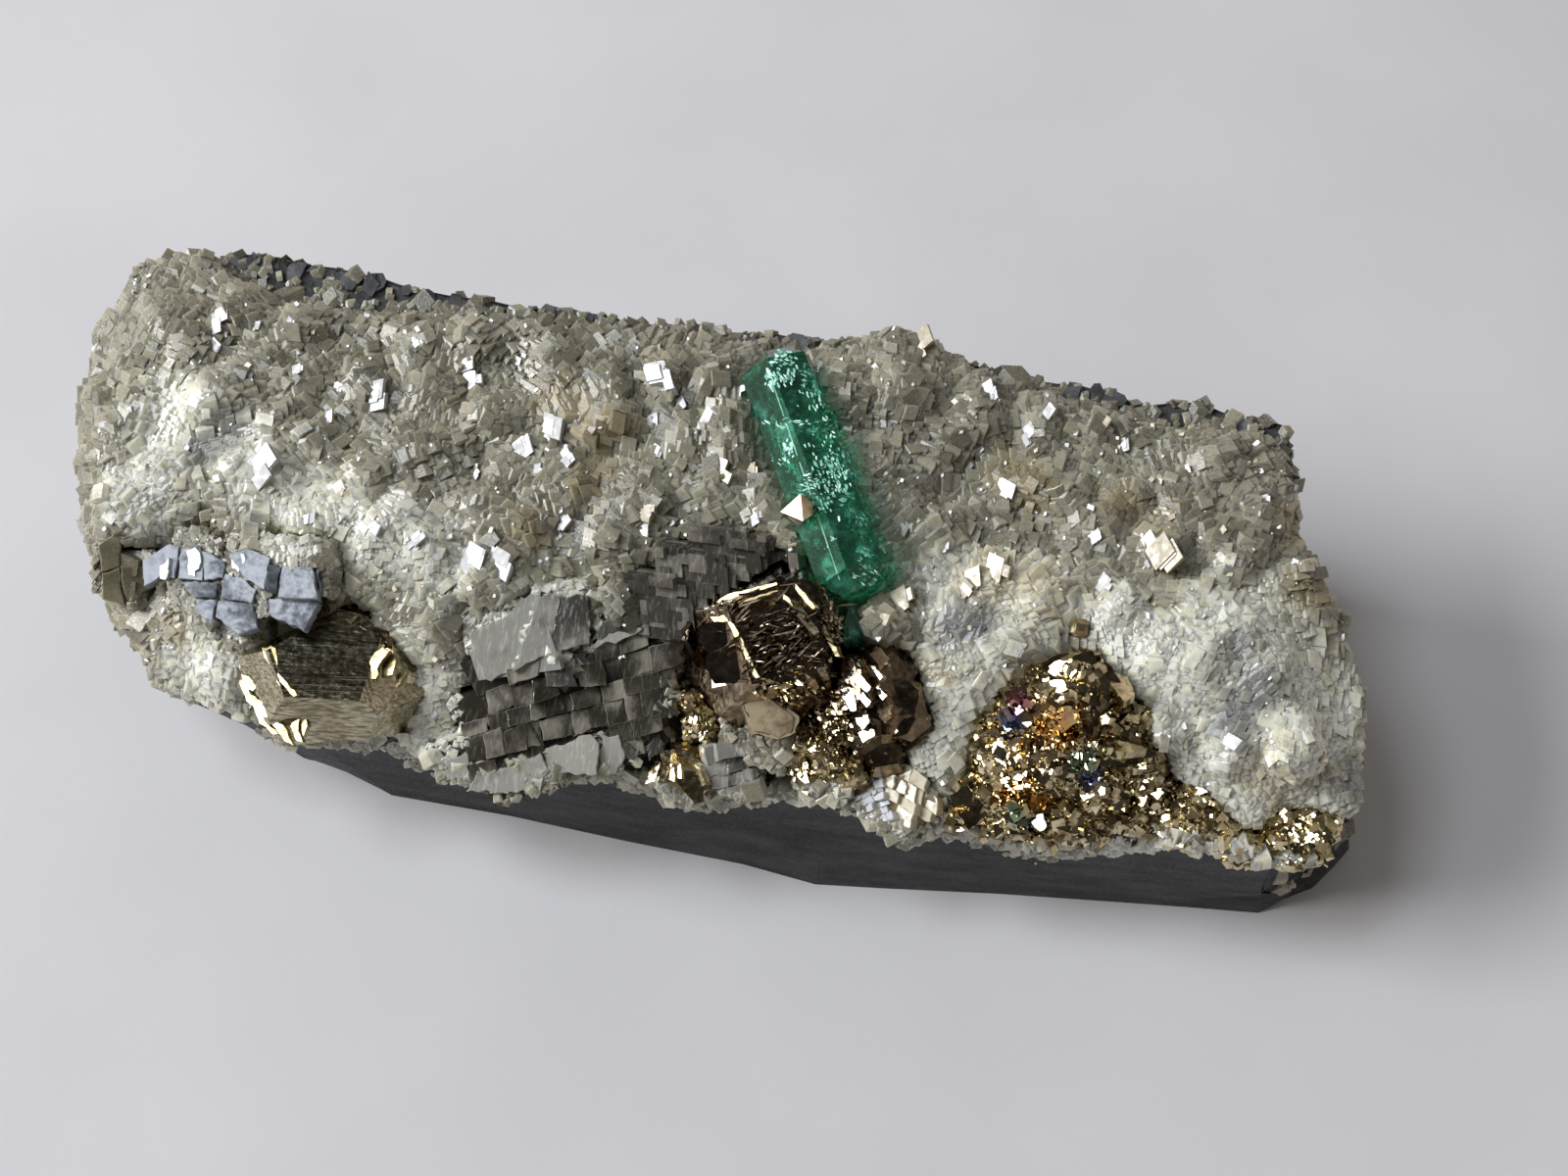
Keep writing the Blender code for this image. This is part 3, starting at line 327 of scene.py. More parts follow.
TARNISHED_FACES = (
    ("window", 1.0, ((1066, 682), (1081, 673), (1093, 675), (1098, 685), (1092, 691), (1074, 690))),
    ("overhead", 0.2, ((1064, 676), (1080, 667), (1094, 668), (1096, 674), (1081, 671), (1066, 680))),
    ("window", 1.0, ((1027, 690), (1039, 683), (1034, 695), (1027, 697))),
    ("window", 0.9, ((1045, 700), (1054, 703), (1061, 712), (1054, 714), (1047, 707))),
    ("window", 0.8, ((1068, 695), (1085, 693), (1087, 704), (1076, 708))),
    ("overhead", 0.3, ((1093, 672), (1105, 664), (1116, 664), (1120, 676), (1112, 691), (1105, 697))),
    ("camera", 0.4, ((1116, 672), (1134, 680), (1146, 700), (1128, 706), (1114, 692))),
    ("back", 0.4, ((1128, 684), (1150, 690), (1159, 710), (1147, 716), (1134, 700))),
    ("left", 0.5, ((1025, 716), (1043, 710), (1055, 718), (1050, 728), (1040, 719))),
    ("window", 1.0, ((1027, 721), (1040, 720), (1049, 730), (1042, 732), (1030, 726))),
    ("sky", 0.5, ((1021, 732), (1042, 732), (1047, 738), (1035, 744), (1025, 745))),
    ("left", 0.6, ((1078, 722), (1093, 720), (1098, 738), (1084, 748), (1075, 740))),
    ("camera", 0.4, ((1112, 722), (1134, 726), (1148, 748), (1126, 758), (1110, 744))),
    ("back", 0.4, ((1124, 744), (1150, 746), (1170, 764), (1146, 768), (1126, 760))),
    ("camera", 0.4, ((1126, 762), (1162, 763), (1178, 770), (1146, 784), (1124, 776))),
    ("camera", 0.3, ((1104, 700), (1118, 702), (1122, 720), (1108, 722))),
    ("sky", 0.7, ((1051, 830), (1064, 831), (1068, 844), (1061, 848), (1053, 841))),
    ("left", 0.4, ((1027, 826), (1047, 820), (1051, 830), (1035, 839))),
    ("overhead", 0.1, ((1027, 840), (1046, 838), (1046, 852), (1032, 852))),
    ("window", 1.0, ((1101, 807), (1110, 802), (1117, 812), (1105, 817))),
    ("window", 1.0, ((1159, 806), (1171, 812), (1167, 823), (1159, 819))),
    ("window", 0.9, ((1143, 811), (1149, 813), (1147, 828), (1143, 826))),
    ("window", 0.9, ((1174, 800), (1188, 809), (1182, 815), (1172, 809))),
    ("camera", 0.4, ((977, 830), (1004, 823), (1009, 830), (988, 846))),
    ("overhead", 0.4, ((968, 812), (990, 800), (1008, 806), (996, 820), (974, 824))),
    ("window", 0.9, ((957, 836), (968, 834), (984, 848), (975, 849))),
)
MOSAIC_BLOCKS = (
    ("sky", 0.9, ((146, 572), (173, 554), (183, 557), (178, 590), (164, 588), (147, 598))),
    ("sky", 0.8, ((185, 559), (203, 557), (209, 571), (206, 592), (182, 590))),
    ("sky", 0.6, ((206, 562), (216, 566), (229, 573), (228, 589), (209, 592))),
    ("sky", 0.9, ((234, 567), (253, 559), (275, 569), (270, 602), (249, 588))),
    ("camera", 0.1, ((275, 577), (286, 579), (282, 606), (268, 603))),
    ("sky", 0.7, ((288, 577), (319, 579), (324, 612), (283, 609))),
    ("sky", 0.6, ((265, 608), (282, 611), (325, 614), (311, 643), (276, 629))),
    ("sky", 0.7, ((229, 585), (247, 590), (261, 602), (257, 615), (225, 610))),
    ("sky", 0.5, ((223, 612), (258, 617), (262, 641), (243, 648), (220, 629))),
    ("sky", 0.6, ((200, 612), (221, 612), (216, 637), (202, 626))),
    ("sky", 0.4, ((182, 593), (206, 594), (222, 594), (220, 609), (198, 609))),
    ("right", 0.5, ((324, 582), (330, 600), (328, 614), (325, 610))),
)
CORNER_PLATES = (
    ("camera", 0.30, ((100, 556), (118, 543), (124, 546), (122, 578), (103, 584))),
    ("camera", 0.55, ((123, 546), (147, 550), (150, 576), (122, 577))),
    ("camera", 0.40, ((104, 585), (122, 579), (124, 604), (128, 618), (104, 612))),
    ("surface", 0.20, ((123, 578), (150, 577), (150, 600), (132, 618), (125, 604))),
)
MOSAIC_FLASHES = (
    ("window", 0.9, ((189, 563), (199, 558), (204, 562), (203, 576), (199, 588), (190, 587), (192, 574))),
    ("window", 0.8, ((164, 574), (172, 570), (173, 580), (168, 592), (163, 590))),
    ("window", 0.7, ((237, 570), (246, 564), (250, 570), (244, 582), (238, 580))),
)
CORNER_FACE = ((100, 560), (118, 547), (146, 553), (147, 598), (128, 616), (106, 610), (100, 590))
BLOCKY_PLATES = (
    ("surface", 0.95, ((479, 646), (514, 631), (531, 611), (548, 607), (524, 684), (498, 696), (484, 668))),
    ("surface", 0.80, ((525, 684), (549, 606), (573, 608), (566, 642), (557, 669))),
    ("camera", 0.25, ((574, 608), (599, 605), (603, 633), (600, 657), (578, 663), (558, 669))),
    ("window", 1.0, ((609, 607), (629, 605), (631, 618), (618, 633))),
    ("camera", 0.25, ((611, 641), (630, 620), (661, 634), (656, 640), (602, 655))),
    ("surface", 1.0, ((601, 656), (653, 640), (654, 645), (602, 662))),
    ("window", 0.6, ((628, 655), (636, 653), (638, 672), (630, 673))),
    ("camera", 0.0, ((589, 663), (600, 662), (601, 703), (594, 703))),
    ("camera", 0.1, ((554, 675), (588, 672), (588, 700), (558, 701))),
    ("surface", 0.9, ((477, 808), (486, 792), (522, 782), (552, 768), (558, 786), (552, 801), (517, 810))),
    ("surface", 1.0, ((553, 767), (576, 758), (604, 748), (612, 764), (610, 790), (586, 790), (560, 786))),
    ("surface", 0.9, ((613, 750), (633, 752), (637, 774), (626, 793), (612, 790))),
    ("camera", 0.0, ((640, 752), (656, 742), (668, 748), (652, 764))),
    ("camera", 0.1, ((655, 764), (670, 750), (678, 762), (664, 776))),
    ("surface", 0.0, ((636, 757), (651, 767), (646, 777), (634, 770))),
    ("surface", 0.9, ((453, 776), (474, 769), (483, 786), (478, 796), (457, 794))),
)
# Where the blocky calcite shows its brickwork, the turn of its rows and of its columns in degrees.
BRICK_FIELD = (
    (480, 738), (486, 714), (498, 700), (534, 686), (556, 700), (601, 703), (602, 662), (652, 646), (668, 645),
    (690, 672), (684, 700), (664, 730), (680, 742), (676, 772), (640, 772), (634, 750), (604, 747),
    (552, 766), (486, 791), (478, 765),
)
BRICK_ROWS = -15.0
BRICK_COLUMNS = 81.0
BRICK_WIDTHS = (16, 34)
BRICK_HEIGHTS = (15, 26)
END_BARE = ((-200, -200), (1310, -200), (1352, 500), (1362, 812), (1308, 862), (1276, 1100), (-200, 1100))
BARE_GAP = ((470, 668), (484, 668), (498, 696), (560, 668), (560, 704), (500, 722), (480, 742), (468, 720))
CLEAR_FIELD = (
    (697, 760), (712, 752), (743, 755), (763, 765), (767, 792), (752, 808), (722, 806), (704, 790),
)
SWIRL_MIDDLE = (786.0, 733.0)
SWIRL_LAYERS = 14
SWIRL_EDGE = ((749, 709), (790, 711), (815, 731), (813, 750), (795, 755), (766, 748), (758, 729))
BRIGHT_FIELD = ((906, 776), (928, 783), (946, 797), (950, 826), (932, 850), (912, 840), (903, 812))
SPARKLY_FIELD = ((862, 812), (872, 796), (902, 780), (903, 812), (911, 840), (890, 842), (870, 832))

# Where small faces crowd together: x, y, spread across and down in pixels, the turn of their long
# side in degrees, their number, their half length and half width in millimetres, and what they mirror.
ETCHED = (
    (798, 364, 6, 5, 20, 40, 0.16, 0.06, "window"),
    (787, 388, 3, 6, 80, 22, 0.16, 0.08, "window"),
    (802, 384, 7, 5, 60, 40, 0.16, 0.06, "window"),
    (824, 380, 6, 5, 30, 16, 0.12, 0.05, "surface"),
    (832, 398, 9, 8, 70, 36, 0.15, 0.05, "window"),
    (845, 419, 5, 6, 60, 30, 0.13, 0.05, "window"),
    (822, 431, 14, 2, -12, 22, 0.16, 0.03, "window"),
    (834, 437, 12, 3, -15, 16, 0.14, 0.03, "surface"),
    (791, 431, 6, 4, 40, 12, 0.14, 0.04, "window"),
    (806, 457, 4, 6, 100, 26, 0.14, 0.07, "window"),
    (795, 472, 5, 5, 30, 12, 0.10, 0.05, "window"),
    (846, 478, 12, 16, 60, 120, 0.12, 0.05, "window"),
    (857, 488, 6, 10, 70, 50, 0.13, 0.06, "window"),
    (826, 494, 7, 4, 10, 26, 0.14, 0.05, "window"),
    (852, 506, 8, 5, 30, 26, 0.14, 0.06, "surface"),
    (842, 517, 3, 5, 60, 14, 0.12, 0.05, "window"),
    (878, 530, 5, 6, 50, 18, 0.14, 0.03, "surface"),
    (883, 568, 5, 6, 40, 26, 0.14, 0.05, "surface"),
    (887, 588, 9, 4, 30, 26, 0.16, 0.04, "window"),
    (848, 550, 3, 6, 60, 10, 0.08, 0.05, "window"),
)
RIDGE_ENDS = ((790, 395), (858, 595))
MOSAIC_CRACKS = (
    (217, 578, 4, 10, 80, 14, 0.22, 0.05, "window"),
    (160, 575, 9, 9, -40, 14, 0.22, 0.05, "window"),
    (208, 592, 12, 3, 10, 10, 0.18, 0.04, "window"),
    (240, 570, 4, 8, 60, 10, 0.16, 0.05, "window"),
    (303, 580, 12, 3, 0, 6, 0.2, 0.03, "window"),
    (255, 640, 12, 8, 30, 12, 0.16, 0.05, "window"),
    (185, 690, 30, 18, 30, 40, 0.16, 0.05, "window"),
)
PYRITE_GLITTER = (
    (1025, 768, 11, 9, 60, 60, 0.22, 0.10, "window"),
    (1075, 740, 14, 12, 30, 60, 0.35, 0.14, "left"),
    (1032, 805, 10, 10, 30, 40, 0.35, 0.15, "window"),
    (1080, 770, 20, 8, 70, 50, 0.30, 0.10, "window"),
    (1130, 710, 14, 14, 60, 40, 0.45, 0.12, "camera"),
    (1060, 790, 35, 25, 20, 90, 0.40, 0.16, "overhead"),
    (1150, 770, 22, 22, 20, 60, 0.45, 0.18, "camera"),
    (1110, 830, 25, 12, -20, 60, 0.45, 0.08, "camera"),
    (1190, 815, 22, 12, 10, 60, 0.28, 0.14, "window"),
    (1230, 835, 22, 12, 30, 60, 0.28, 0.14, "overhead"),
    (1325, 858, 20, 10, 30, 50, 0.25, 0.12, "window"),
    (1325, 858, 22, 12, 60, 60, 0.30, 0.14, "overhead"),
    (852, 735, 9, 18, 60, 80, 0.20, 0.12, "window"),
    (850, 740, 12, 22, 20, 80, 0.25, 0.14, "left"),
    (856, 755, 10, 16, 60, 50, 0.25, 0.14, "overhead"),
    (812, 790, 7, 8, 50, 16, 0.35, 0.14, "window"),
    (827, 748, 4, 9, 60, 16, 0.35, 0.14, "window"),
    (790, 780, 10, 8, 30, 30, 0.25, 0.12, "overhead"),
    (712, 728, 5, 8, 70, 20, 0.30, 0.12, "left"),
    (714, 742, 4, 6, 100, 12, 0.30, 0.10, "window"),
    (805, 700, 18, 8, 30, 40, 0.30, 0.10, "left"),
    (815, 705, 16, 6, 60, 20, 0.22, 0.08, "window"),
)
RIDGES = (
    (795, 640, 22, 18, -28, 60, 0.9, 0.07, "overhead"),
    (798, 650, 20, 18, -22, 60, 0.8, 0.04, "left"),
    (795, 660, 22, 16, -14, 40, 0.6, 0.03, "back"),
    (790, 665, 22, 14, -10, 16, 0.4, 0.02, "window"),
    (800, 650, 24, 20, -24, 50, 0.8, 0.05, "right"),
    (800, 690, 20, 7, -10, 30, 0.7, 0.08, "camera"),
    (740, 625, 14, 6, -35, 20, 0.7, 0.05, "left"),
    (845, 630, 4, 22, 60, 30, 0.7, 0.04, "left"),
)
RIM_PATH = (
    (160, 705), (205, 735), (250, 757), (385, 760), (430, 780), (480, 800), (540, 803), (600, 790),
    (650, 802), (700, 826), (760, 820), (800, 811), (850, 815), (890, 840), (925, 856), (965, 853),
    (1010, 866), (1060, 876), (1120, 872), (1180, 864), (1240, 868), (1290, 880), (1340, 880),
)
SHALE_EDGE = 1.3 * MM
SHALE_FLAKES = 2600
BEDDING = Vector((0.0, -0.347, 0.938))  # normal of the shale's layers
OCTAHEDRON_SPIN = 40.0
OCTAHEDRON_SIZE = 0.9 * MM
PIXELS_PER_MM = 15.3


# ---------------------------------------------------------------- small helpers


def square_axes(main, side):
    """A matrix whose columns are main, side made square to it, and their cross product."""
    main = Vector(main).normalized()
    side = Vector(side) - main * main.dot(Vector(side))
    side.normalize()
    return Matrix((main, side, main.cross(side))).transposed()


def tree_of(names):
    """A BVH tree of several CAD nodes together."""
    verts = []
    faces = []
    for name in names:
        start = len(verts)
        mesh = NODES[name].data
        verts += [vert.co.copy() for vert in mesh.vertices]
        faces += [[start + i for i in face.vertices] for face in mesh.polygons]
    return BVHTree.FromPolygons(verts, faces)


WHOLE = tree_of(NODES)
LARGE = tree_of([name for name in NODES if name not in ("shale_matrix", "calcite_druse")])


def photo_ray(x, y):
    """The direction in which the camera sees a pixel of the photograph."""
    focal = LENS / SENSOR * PHOTO_WIDTH
    across = (x - PHOTO_WIDTH / 2) / focal
    down = (y - PHOTO_HEIGHT / 2) / focal
    return (CAMERA_RIGHT * across - CAMERA_UP * down - TO_CAMERA).normalized()


def seen_at(x, y, tree=WHOLE):
    """The point of the object under a pixel of the photograph, and the surface normal there."""
    point, normal, _, _ = tree.ray_cast(CAMERA_AT, photo_ray(x, y))
    return point, normal


def pixel_of(point):
    """The pixel of the photograph in which the camera sees a point."""
    ray = Vector(point) - CAMERA_AT
    focal = LENS / SENSOR * PHOTO_WIDTH / -ray.dot(TO_CAMERA)
    return (
        PHOTO_WIDTH / 2 + focal * ray.dot(CAMERA_RIGHT),
        PHOTO_HEIGHT / 2 - focal * ray.dot(CAMERA_UP),
    )


def inside(x, y, outline):
    """True if a pixel lies inside a closed outline of pixels."""
    found = False
    for k, (x1, y1) in enumerate(outline):
        x2, y2 = outline[k - 1]
        if (y1 > y) != (y2 > y) and x < x1 + (x2 - x1) * (y - y1) / (y2 - y1):
            found = not found
    return found


def places(spots):
    """Pixels with a reach in millimetres, as points with a reach in metres."""
    found = []
    for x, y, reach in spots:
        point, _ = seen_at(x, y)
        if point is not None:
            found.append((point, reach * MM))
    return found


MILKY_AT = places(MILKY)
OCHRE_AT = places(OCHRE)
GREY_PLACES_AT = places(GREY_PLACES)
TARNISH = (
    ((0.66, 0.42, 0.16), places(((1078, 740, 1.6), (1035, 805, 1.5), (1060, 815, 1.0), (1045, 765, 0.8)))),
    ((0.44, 0.22, 0.24), places(((1040, 718, 1.0), (1090, 728, 0.6)))),
    ((0.18, 0.23, 0.42), places(((1032, 738, 0.9), (1058, 838, 0.7), (1112, 790, 0.8)))),
    ((0.30, 0.38, 0.26), places(((1038, 830, 0.9), (1105, 775, 1.0)))),
)


def share_of(point, spots):
    """How much a point belongs to a set of places: 1 inside one, 0 well outside them all."""
    best = 0.0
    for centre, reach in spots:
        distance = (point - centre).length / reach
        best = max(best, 1.0 - min(1.0, max(0.0, (distance - 0.5) / 0.8)))
    return best


def finish_piece(obj, slot, *replaced):
    """Parents a piece to the root empty, and hides the CAD nodes that it replaces."""
    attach(obj, "root")
    if replaced:
        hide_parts(*replaced)
    return obj


def mesh_piece(name, verts, faces, material, tones=None):
    """A new mesh object; tones is one number per vertex, which its material reads."""
    mesh = bpy.data.meshes.new(name)
    mesh.from_pydata([tuple(v) for v in verts], [], [tuple(f) for f in faces])
    if tones is not None:
        attribute = mesh.attributes.new("tone", "FLOAT", "POINT")
        attribute.data.foreach_set("value", np.asarray(tones, np.float32))
    mesh.materials.append(material)
    mesh.validate()
    obj = bpy.data.objects.new(name, mesh)
    bpy.context.scene.collection.objects.link(obj)
    return obj


# ---------------------------------------------------------------- materials


class Surface:
    """A Principled material and short calls for the nodes that the materials share."""

    def __init__(self, name, **constants):
        self.material = bpy.data.materials.new(name)
        self.material.use_nodes = True
        self.tree = self.material.node_tree
        self.shader = self.tree.nodes["Principled BSDF"]
        for key, value in constants.items():
            self.shader.inputs[key.replace("_", " ")].default_value = value
        self.position = self.add("ShaderNodeTexCoord").outputs["Object"]

    def add(self, kind, inputs=(), **settings):
        node = self.tree.nodes.new(kind)
        for key, value in settings.items():
            setattr(node, key, value)
        for key, value in dict(inputs).items():
            self.feed(node.inputs[key], value)
        return node

    def feed(self, socket, value):
        if isinstance(value, bpy.types.NodeSocket):
            self.tree.links.new(value, socket)
        elif socket.type == "RGBA":
            socket.default_value = (*value, 1.0) if len(value) == 3 else value
        else:
            socket.default_value = value

    def give(self, name, value):
        self.feed(self.shader.inputs[name], value)

    def math(self, operation, *values):
        node = self.add("ShaderNodeMath", operation=operation, use_clamp=False)
        for socket, value in zip(node.inputs, values):
            self.feed(socket, value)
        return node.outputs[0]

    def span(self, value, low, high, to_low=0.0, to_high=1.0):
        node = self.add("ShaderNodeMapRange", interpolation_type="SMOOTHSTEP")
        for socket, number in zip(node.inputs, (value, low, high, to_low, to_high)):
            self.feed(socket, number)
        return node.outputs[0]

    def mix(self, factor, first, second, blend="MIX"):
        node = self.add("ShaderNodeMix", data_type="RGBA", blend_type=blend)
        for socket, value in zip((node.inputs[0], node.inputs[6], node.inputs[7]), (factor, first, second)):
            self.feed(socket, value)
        return node.outputs[2]

    def stretched(self, scale, turn=(0, 0, 0)):
        inputs = {"Vector": self.position, "Scale": scale, "Rotation": turn}
        return self.add("ShaderNodeMapping", inputs).outputs[0]

    def noise(self, size, detail=3.0, roughness=0.55, stretch=None, distortion=0.0):
        """Noise whose features are size millimetres across."""
        vector = self.position if stretch is None else self.stretched(stretch)
        inputs = {
            "Vector": vector,
            "Scale": 1.0 / (size * MM),
            "Detail": detail,
            "Roughness": roughness,
            "Distortion": distortion,
        }
        return self.add("ShaderNodeTexNoise", inputs).outputs[0]

    def cells(self, size, feature="F1", output="Distance", stretch=None):
        vector = self.position if stretch is None else self.stretched(stretch)
        inputs = {"Vector": vector, "Scale": 1.0 / (size * MM)}
        return self.add("ShaderNodeTexVoronoi", inputs, feature=feature).outputs[output]

    def near(self, spots, soft=0.5, wander=None):
        """1 close to any of the places, 0 away from them; wander roughens their edges."""
        total = 0.0
        position = self.position
        if wander is not None:
            shift = self.add("ShaderNodeTexNoise", {"Vector": position, "Scale": 1.0 / (wander * MM)})
            centred = self.add(
                "ShaderNodeVectorMath",
                {0: shift.outputs["Color"], 1: (0.5, 0.5, 0.5)},
                operation="SUBTRACT",
            ).outputs[0]
            scaled = self.add(
                "ShaderNodeVectorMath", {0: centred, "Scale": wander * 2.0 * MM}, operation="SCALE"
            ).outputs[0]
            position = self.add(
                "ShaderNodeVectorMath", {0: position, 1: scaled}, operation="ADD"
            ).outputs[0]
        for centre, reach in spots:
            distance = self.add(
                "ShaderNodeVectorMath", {0: position, 1: tuple(centre)}, operation="DISTANCE"
            ).outputs["Value"]
            inside = self.span(distance, reach * (1 + soft), reach * (1 - soft))
            total = inside if total == 0.0 else self.math("MAXIMUM", total, inside)
        return total

    def tone(self):
        return self.add("ShaderNodeAttribute", attribute_name="tone").outputs["Fac"]

    def bump(self, height, depth, strength=1.0):
        """Relief of depth millimetres, where height goes from 0 to 1."""
        inputs = {"Height": height, "Distance": depth * MM, "Strength": strength}
        self.give("Normal", self.add("ShaderNodeBump", inputs).outputs[0])


def calcite(name, dark, light, clear=0.2, milky=(1.0, 0.97, 0.79), roughness=(0.12, 0.4)):
    """Calcite whose crystals differ by their tone, with milky, ochre and grey places."""
    surface = Surface(name, IOR=1.6, Subsurface_Radius=(0.8, 0.7, 0.5), Subsurface_Scale=0.7 * MM)
    tone = surface.tone()
    veil = surface.noise(1.1, 4.0, 0.65)
    grain = surface.noise(0.3, 4.0, 0.65, distortion=1.2)
    blend = surface.math("MULTIPLY_ADD", veil, 0.6, surface.math("MULTIPLY_ADD", grain, 0.9, -0.75))
    level = surface.math("MULTIPLY_ADD", tone, 0.6, surface.math("ADD", blend, 0.2))
    colour = surface.mix(surface.span(level, 0.0, 1.15), dark, light)
    milk = surface.near(MILKY_AT, 0.45, 2.0)
    colour = surface.mix(surface.math("MULTIPLY", milk, surface.span(veil, 0.3, 0.6, 0.35, 0.95)), colour, milky)
    stain = surface.math("MULTIPLY", surface.near(OCHRE_AT, 0.6, 2.2), 0.4)
    colour = surface.mix(stain, colour, (0.40, 0.29, 0.11))
    # darker grey at the grey places; at the left end this is painted shade
    grey_share = surface.math("MULTIPLY", surface.near(GREY_PLACES_AT, 0.6, 1.2), 0.75)
    colour = surface.mix(grey_share, colour, (0.16, 0.17, 0.19))
    surface.give("Base Color", colour)
    surface.give("Roughness", surface.span(grain, 0.3, 0.7, *roughness))
    surface.shader.inputs["Subsurface Weight"].default_value = 0.6
    if clear:
        glassy = surface.math("MULTIPLY", surface.span(surface.tone(), 0.65, 0.2), clear)
        dull = surface.math("SUBTRACT", 1.0, milk)
        surface.give("Transmission Weight", surface.math("MULTIPLY", glassy, dull))
    steps = surface.noise(0.16, 2.0, 0.5)
    surface.bump(steps, 0.03, 0.6)
    return surface.material


def clear_calcite(name, tint, shade, clear=0.55, density=120.0, flaws=0.5):
    """See-through calcite blocks with cleavage cracks and cloudy places."""
    surface = Surface(name, IOR=1.6)
    tone = surface.tone()
    cloud = surface.noise(1.6, 4.0, 0.6)
    fibres = surface.noise(0.4, 4.0, 0.65, (1.6, 0.35, 0.35), distortion=0.6)
    level = surface.math("ADD", surface.math("MULTIPLY_ADD", tone, 0.8, -0.4), cloud)
    colour = surface.mix(surface.span(level, 0.15, 0.85), shade, tint)
    veil = surface.math("MULTIPLY", surface.span(fibres, 0.48, 0.72), flaws)
    colour = surface.mix(veil, colour, (0.72, 0.71, 0.66))
    surface.give("Base Color", colour)
    surface.give("Transmission Weight", surface.span(level, 0.72, 0.4, clear * 0.4, clear))
    surface.give("Roughness", surface.span(cloud, 0.4, 0.7, 0.04, 0.25))
    surface.bump(surface.noise(0.5, 3.0, 0.6, (1.0, 1.0, 3.0)), 0.04, 0.5)
    absorb = surface.add("ShaderNodeVolumeAbsorption", {"Color": shade, "Density": density})
    output = surface.tree.nodes["Material Output"]
    surface.tree.links.new(absorb.outputs[0], output.inputs["Volume"])
    return surface.material


def mirror_calcite(name, colour, shade, sheen=0.55, coat=0.0, ior=1.6):
    """Polished cleavage faces that catch the window, patchy where they are etched."""
    surface = Surface(name, IOR=ior, Coat_Weight=coat, Coat_Roughness=0.05)
    tone = surface.tone()
    cloud = surface.noise(0.5, 4.0, 0.65)
    level = surface.math("ADD", cloud, surface.math("MULTIPLY_ADD", tone, 0.4, -0.2))
    surface.give("Base Color", surface.mix(surface.span(level, 0.2, 0.8), shade, colour))
    surface.give("Roughness", surface.span(level, 0.3, 0.7, sheen, 0.12))
    surface.bump(surface.noise(0.4, 2.0), 0.01, 0.4)
    return surface.material


def emerald():
    surface = Surface("emerald", IOR=1.58)
    cloud = surface.noise(1.4, 4.0, 0.6)
    colour = surface.mix(surface.span(cloud, 0.35, 0.7), (0.10, 0.62, 0.42), (0.22, 0.85, 0.62))
    surface.give("Base Color", colour)
    surface.give("Transmission Weight", surface.span(cloud, 0.75, 0.5, 0.72, 0.96))
    surface.give("Roughness", surface.span(surface.noise(0.5), 0.4, 0.7, 0.02, 0.10))
    surface.bump(surface.noise(0.5, 4.0, 0.6, (1.0, 0.4, 1.0)), 0.02, 0.5)
    absorb = surface.add(
        "ShaderNodeVolumeAbsorption", {"Color": (0.04, 0.80, 0.52), "Density": 82.0}
    )
    output = surface.tree.nodes["Material Output"]
    surface.tree.links.new(absorb.outputs[0], output.inputs["Volume"])
    return surface.material


def pyrite(name, bright, dark, roughness=(0.08, 0.3), tarnish=(), striation_shade=0.0, grain=0.7):
    """Metallic pyrite; tarnish is a list of (colour, places), and fine striations that run along the slab darken the
    colour in lines, as painted shade, besides their relief.
    """
    surface = Surface(name, Metallic=1.0)
    patch = surface.noise(1.5, 4.0, 0.6)
    fine = surface.noise(0.35, 3.0, 0.6)
    colour = surface.mix(surface.span(patch, 0.35, 0.68), dark, bright)
    for tint, spots in tarnish:
        colour = surface.mix(surface.near(spots, 0.5, 0.8), colour, tint)
    surface.give("Base Color", colour)
    surface.give("Roughness", surface.span(fine, 0.35, 0.7, *roughness))
    relief = surface.math("ADD", surface.noise(0.6, 4.0, 0.6), surface.cells(0.5))
    if striation_shade:
        lines = surface.noise(0.17, 3.0, 0.6, (0.045, 1.0, 1.0))
        # painted shade: the colour darkens along the striation lines
        colour = surface.mix(surface.span(lines, 0.35, 0.62, striation_shade, 0.0), colour, (0.08, 0.07, 0.045))
        surface.give("Base Color", colour)
        relief = surface.math("MULTIPLY_ADD", lines, 0.4, relief)
    surface.bump(relief, 0.03, grain)
    return surface.material


def shale(name, dark, light):
    surface = Surface(name, IOR=1.5)
    layer = surface.noise(1.5, 5.0, 0.6, (0.35, 0.35, 1.6))
    fine = surface.noise(0.25, 4.0, 0.7)
    colour = surface.mix(surface.span(layer, 0.3, 0.75), dark, light)
    speck = surface.span(surface.cells(0.7), 0.16, 0.05)
    bright = surface.math("MULTIPLY", speck, surface.span(surface.noise(2.0), 0.5, 0.7))
    colour = surface.mix(surface.math("MULTIPLY", bright, 0.6), colour, (0.17, 0.17, 0.17))
    surface.give("Base Color", colour)
    surface.give("Roughness", surface.span(fine, 0.3, 0.7, 0.5, 0.85))
    surface.bump(surface.math("ADD", layer, surface.math("MULTIPLY", fine, 0.4)), 0.12, 0.8)
    return surface.material


def paper():
    surface = Surface("paper", IOR=1.4)
    fibre = surface.noise(0.6, 6.0, 0.7)
    broad = surface.noise(25.0, 3.0, 0.5)
    colour = surface.mix(surface.span(broad, 0.3, 0.7), (0.70, 0.70, 0.725), (0.74, 0.74, 0.76))
    surface.give("Base Color", colour)
    surface.give("Roughness", surface.span(fibre, 0.3, 0.7, 0.8, 0.95))
    surface.bump(fibre, 0.05, 0.25)
    return surface.material


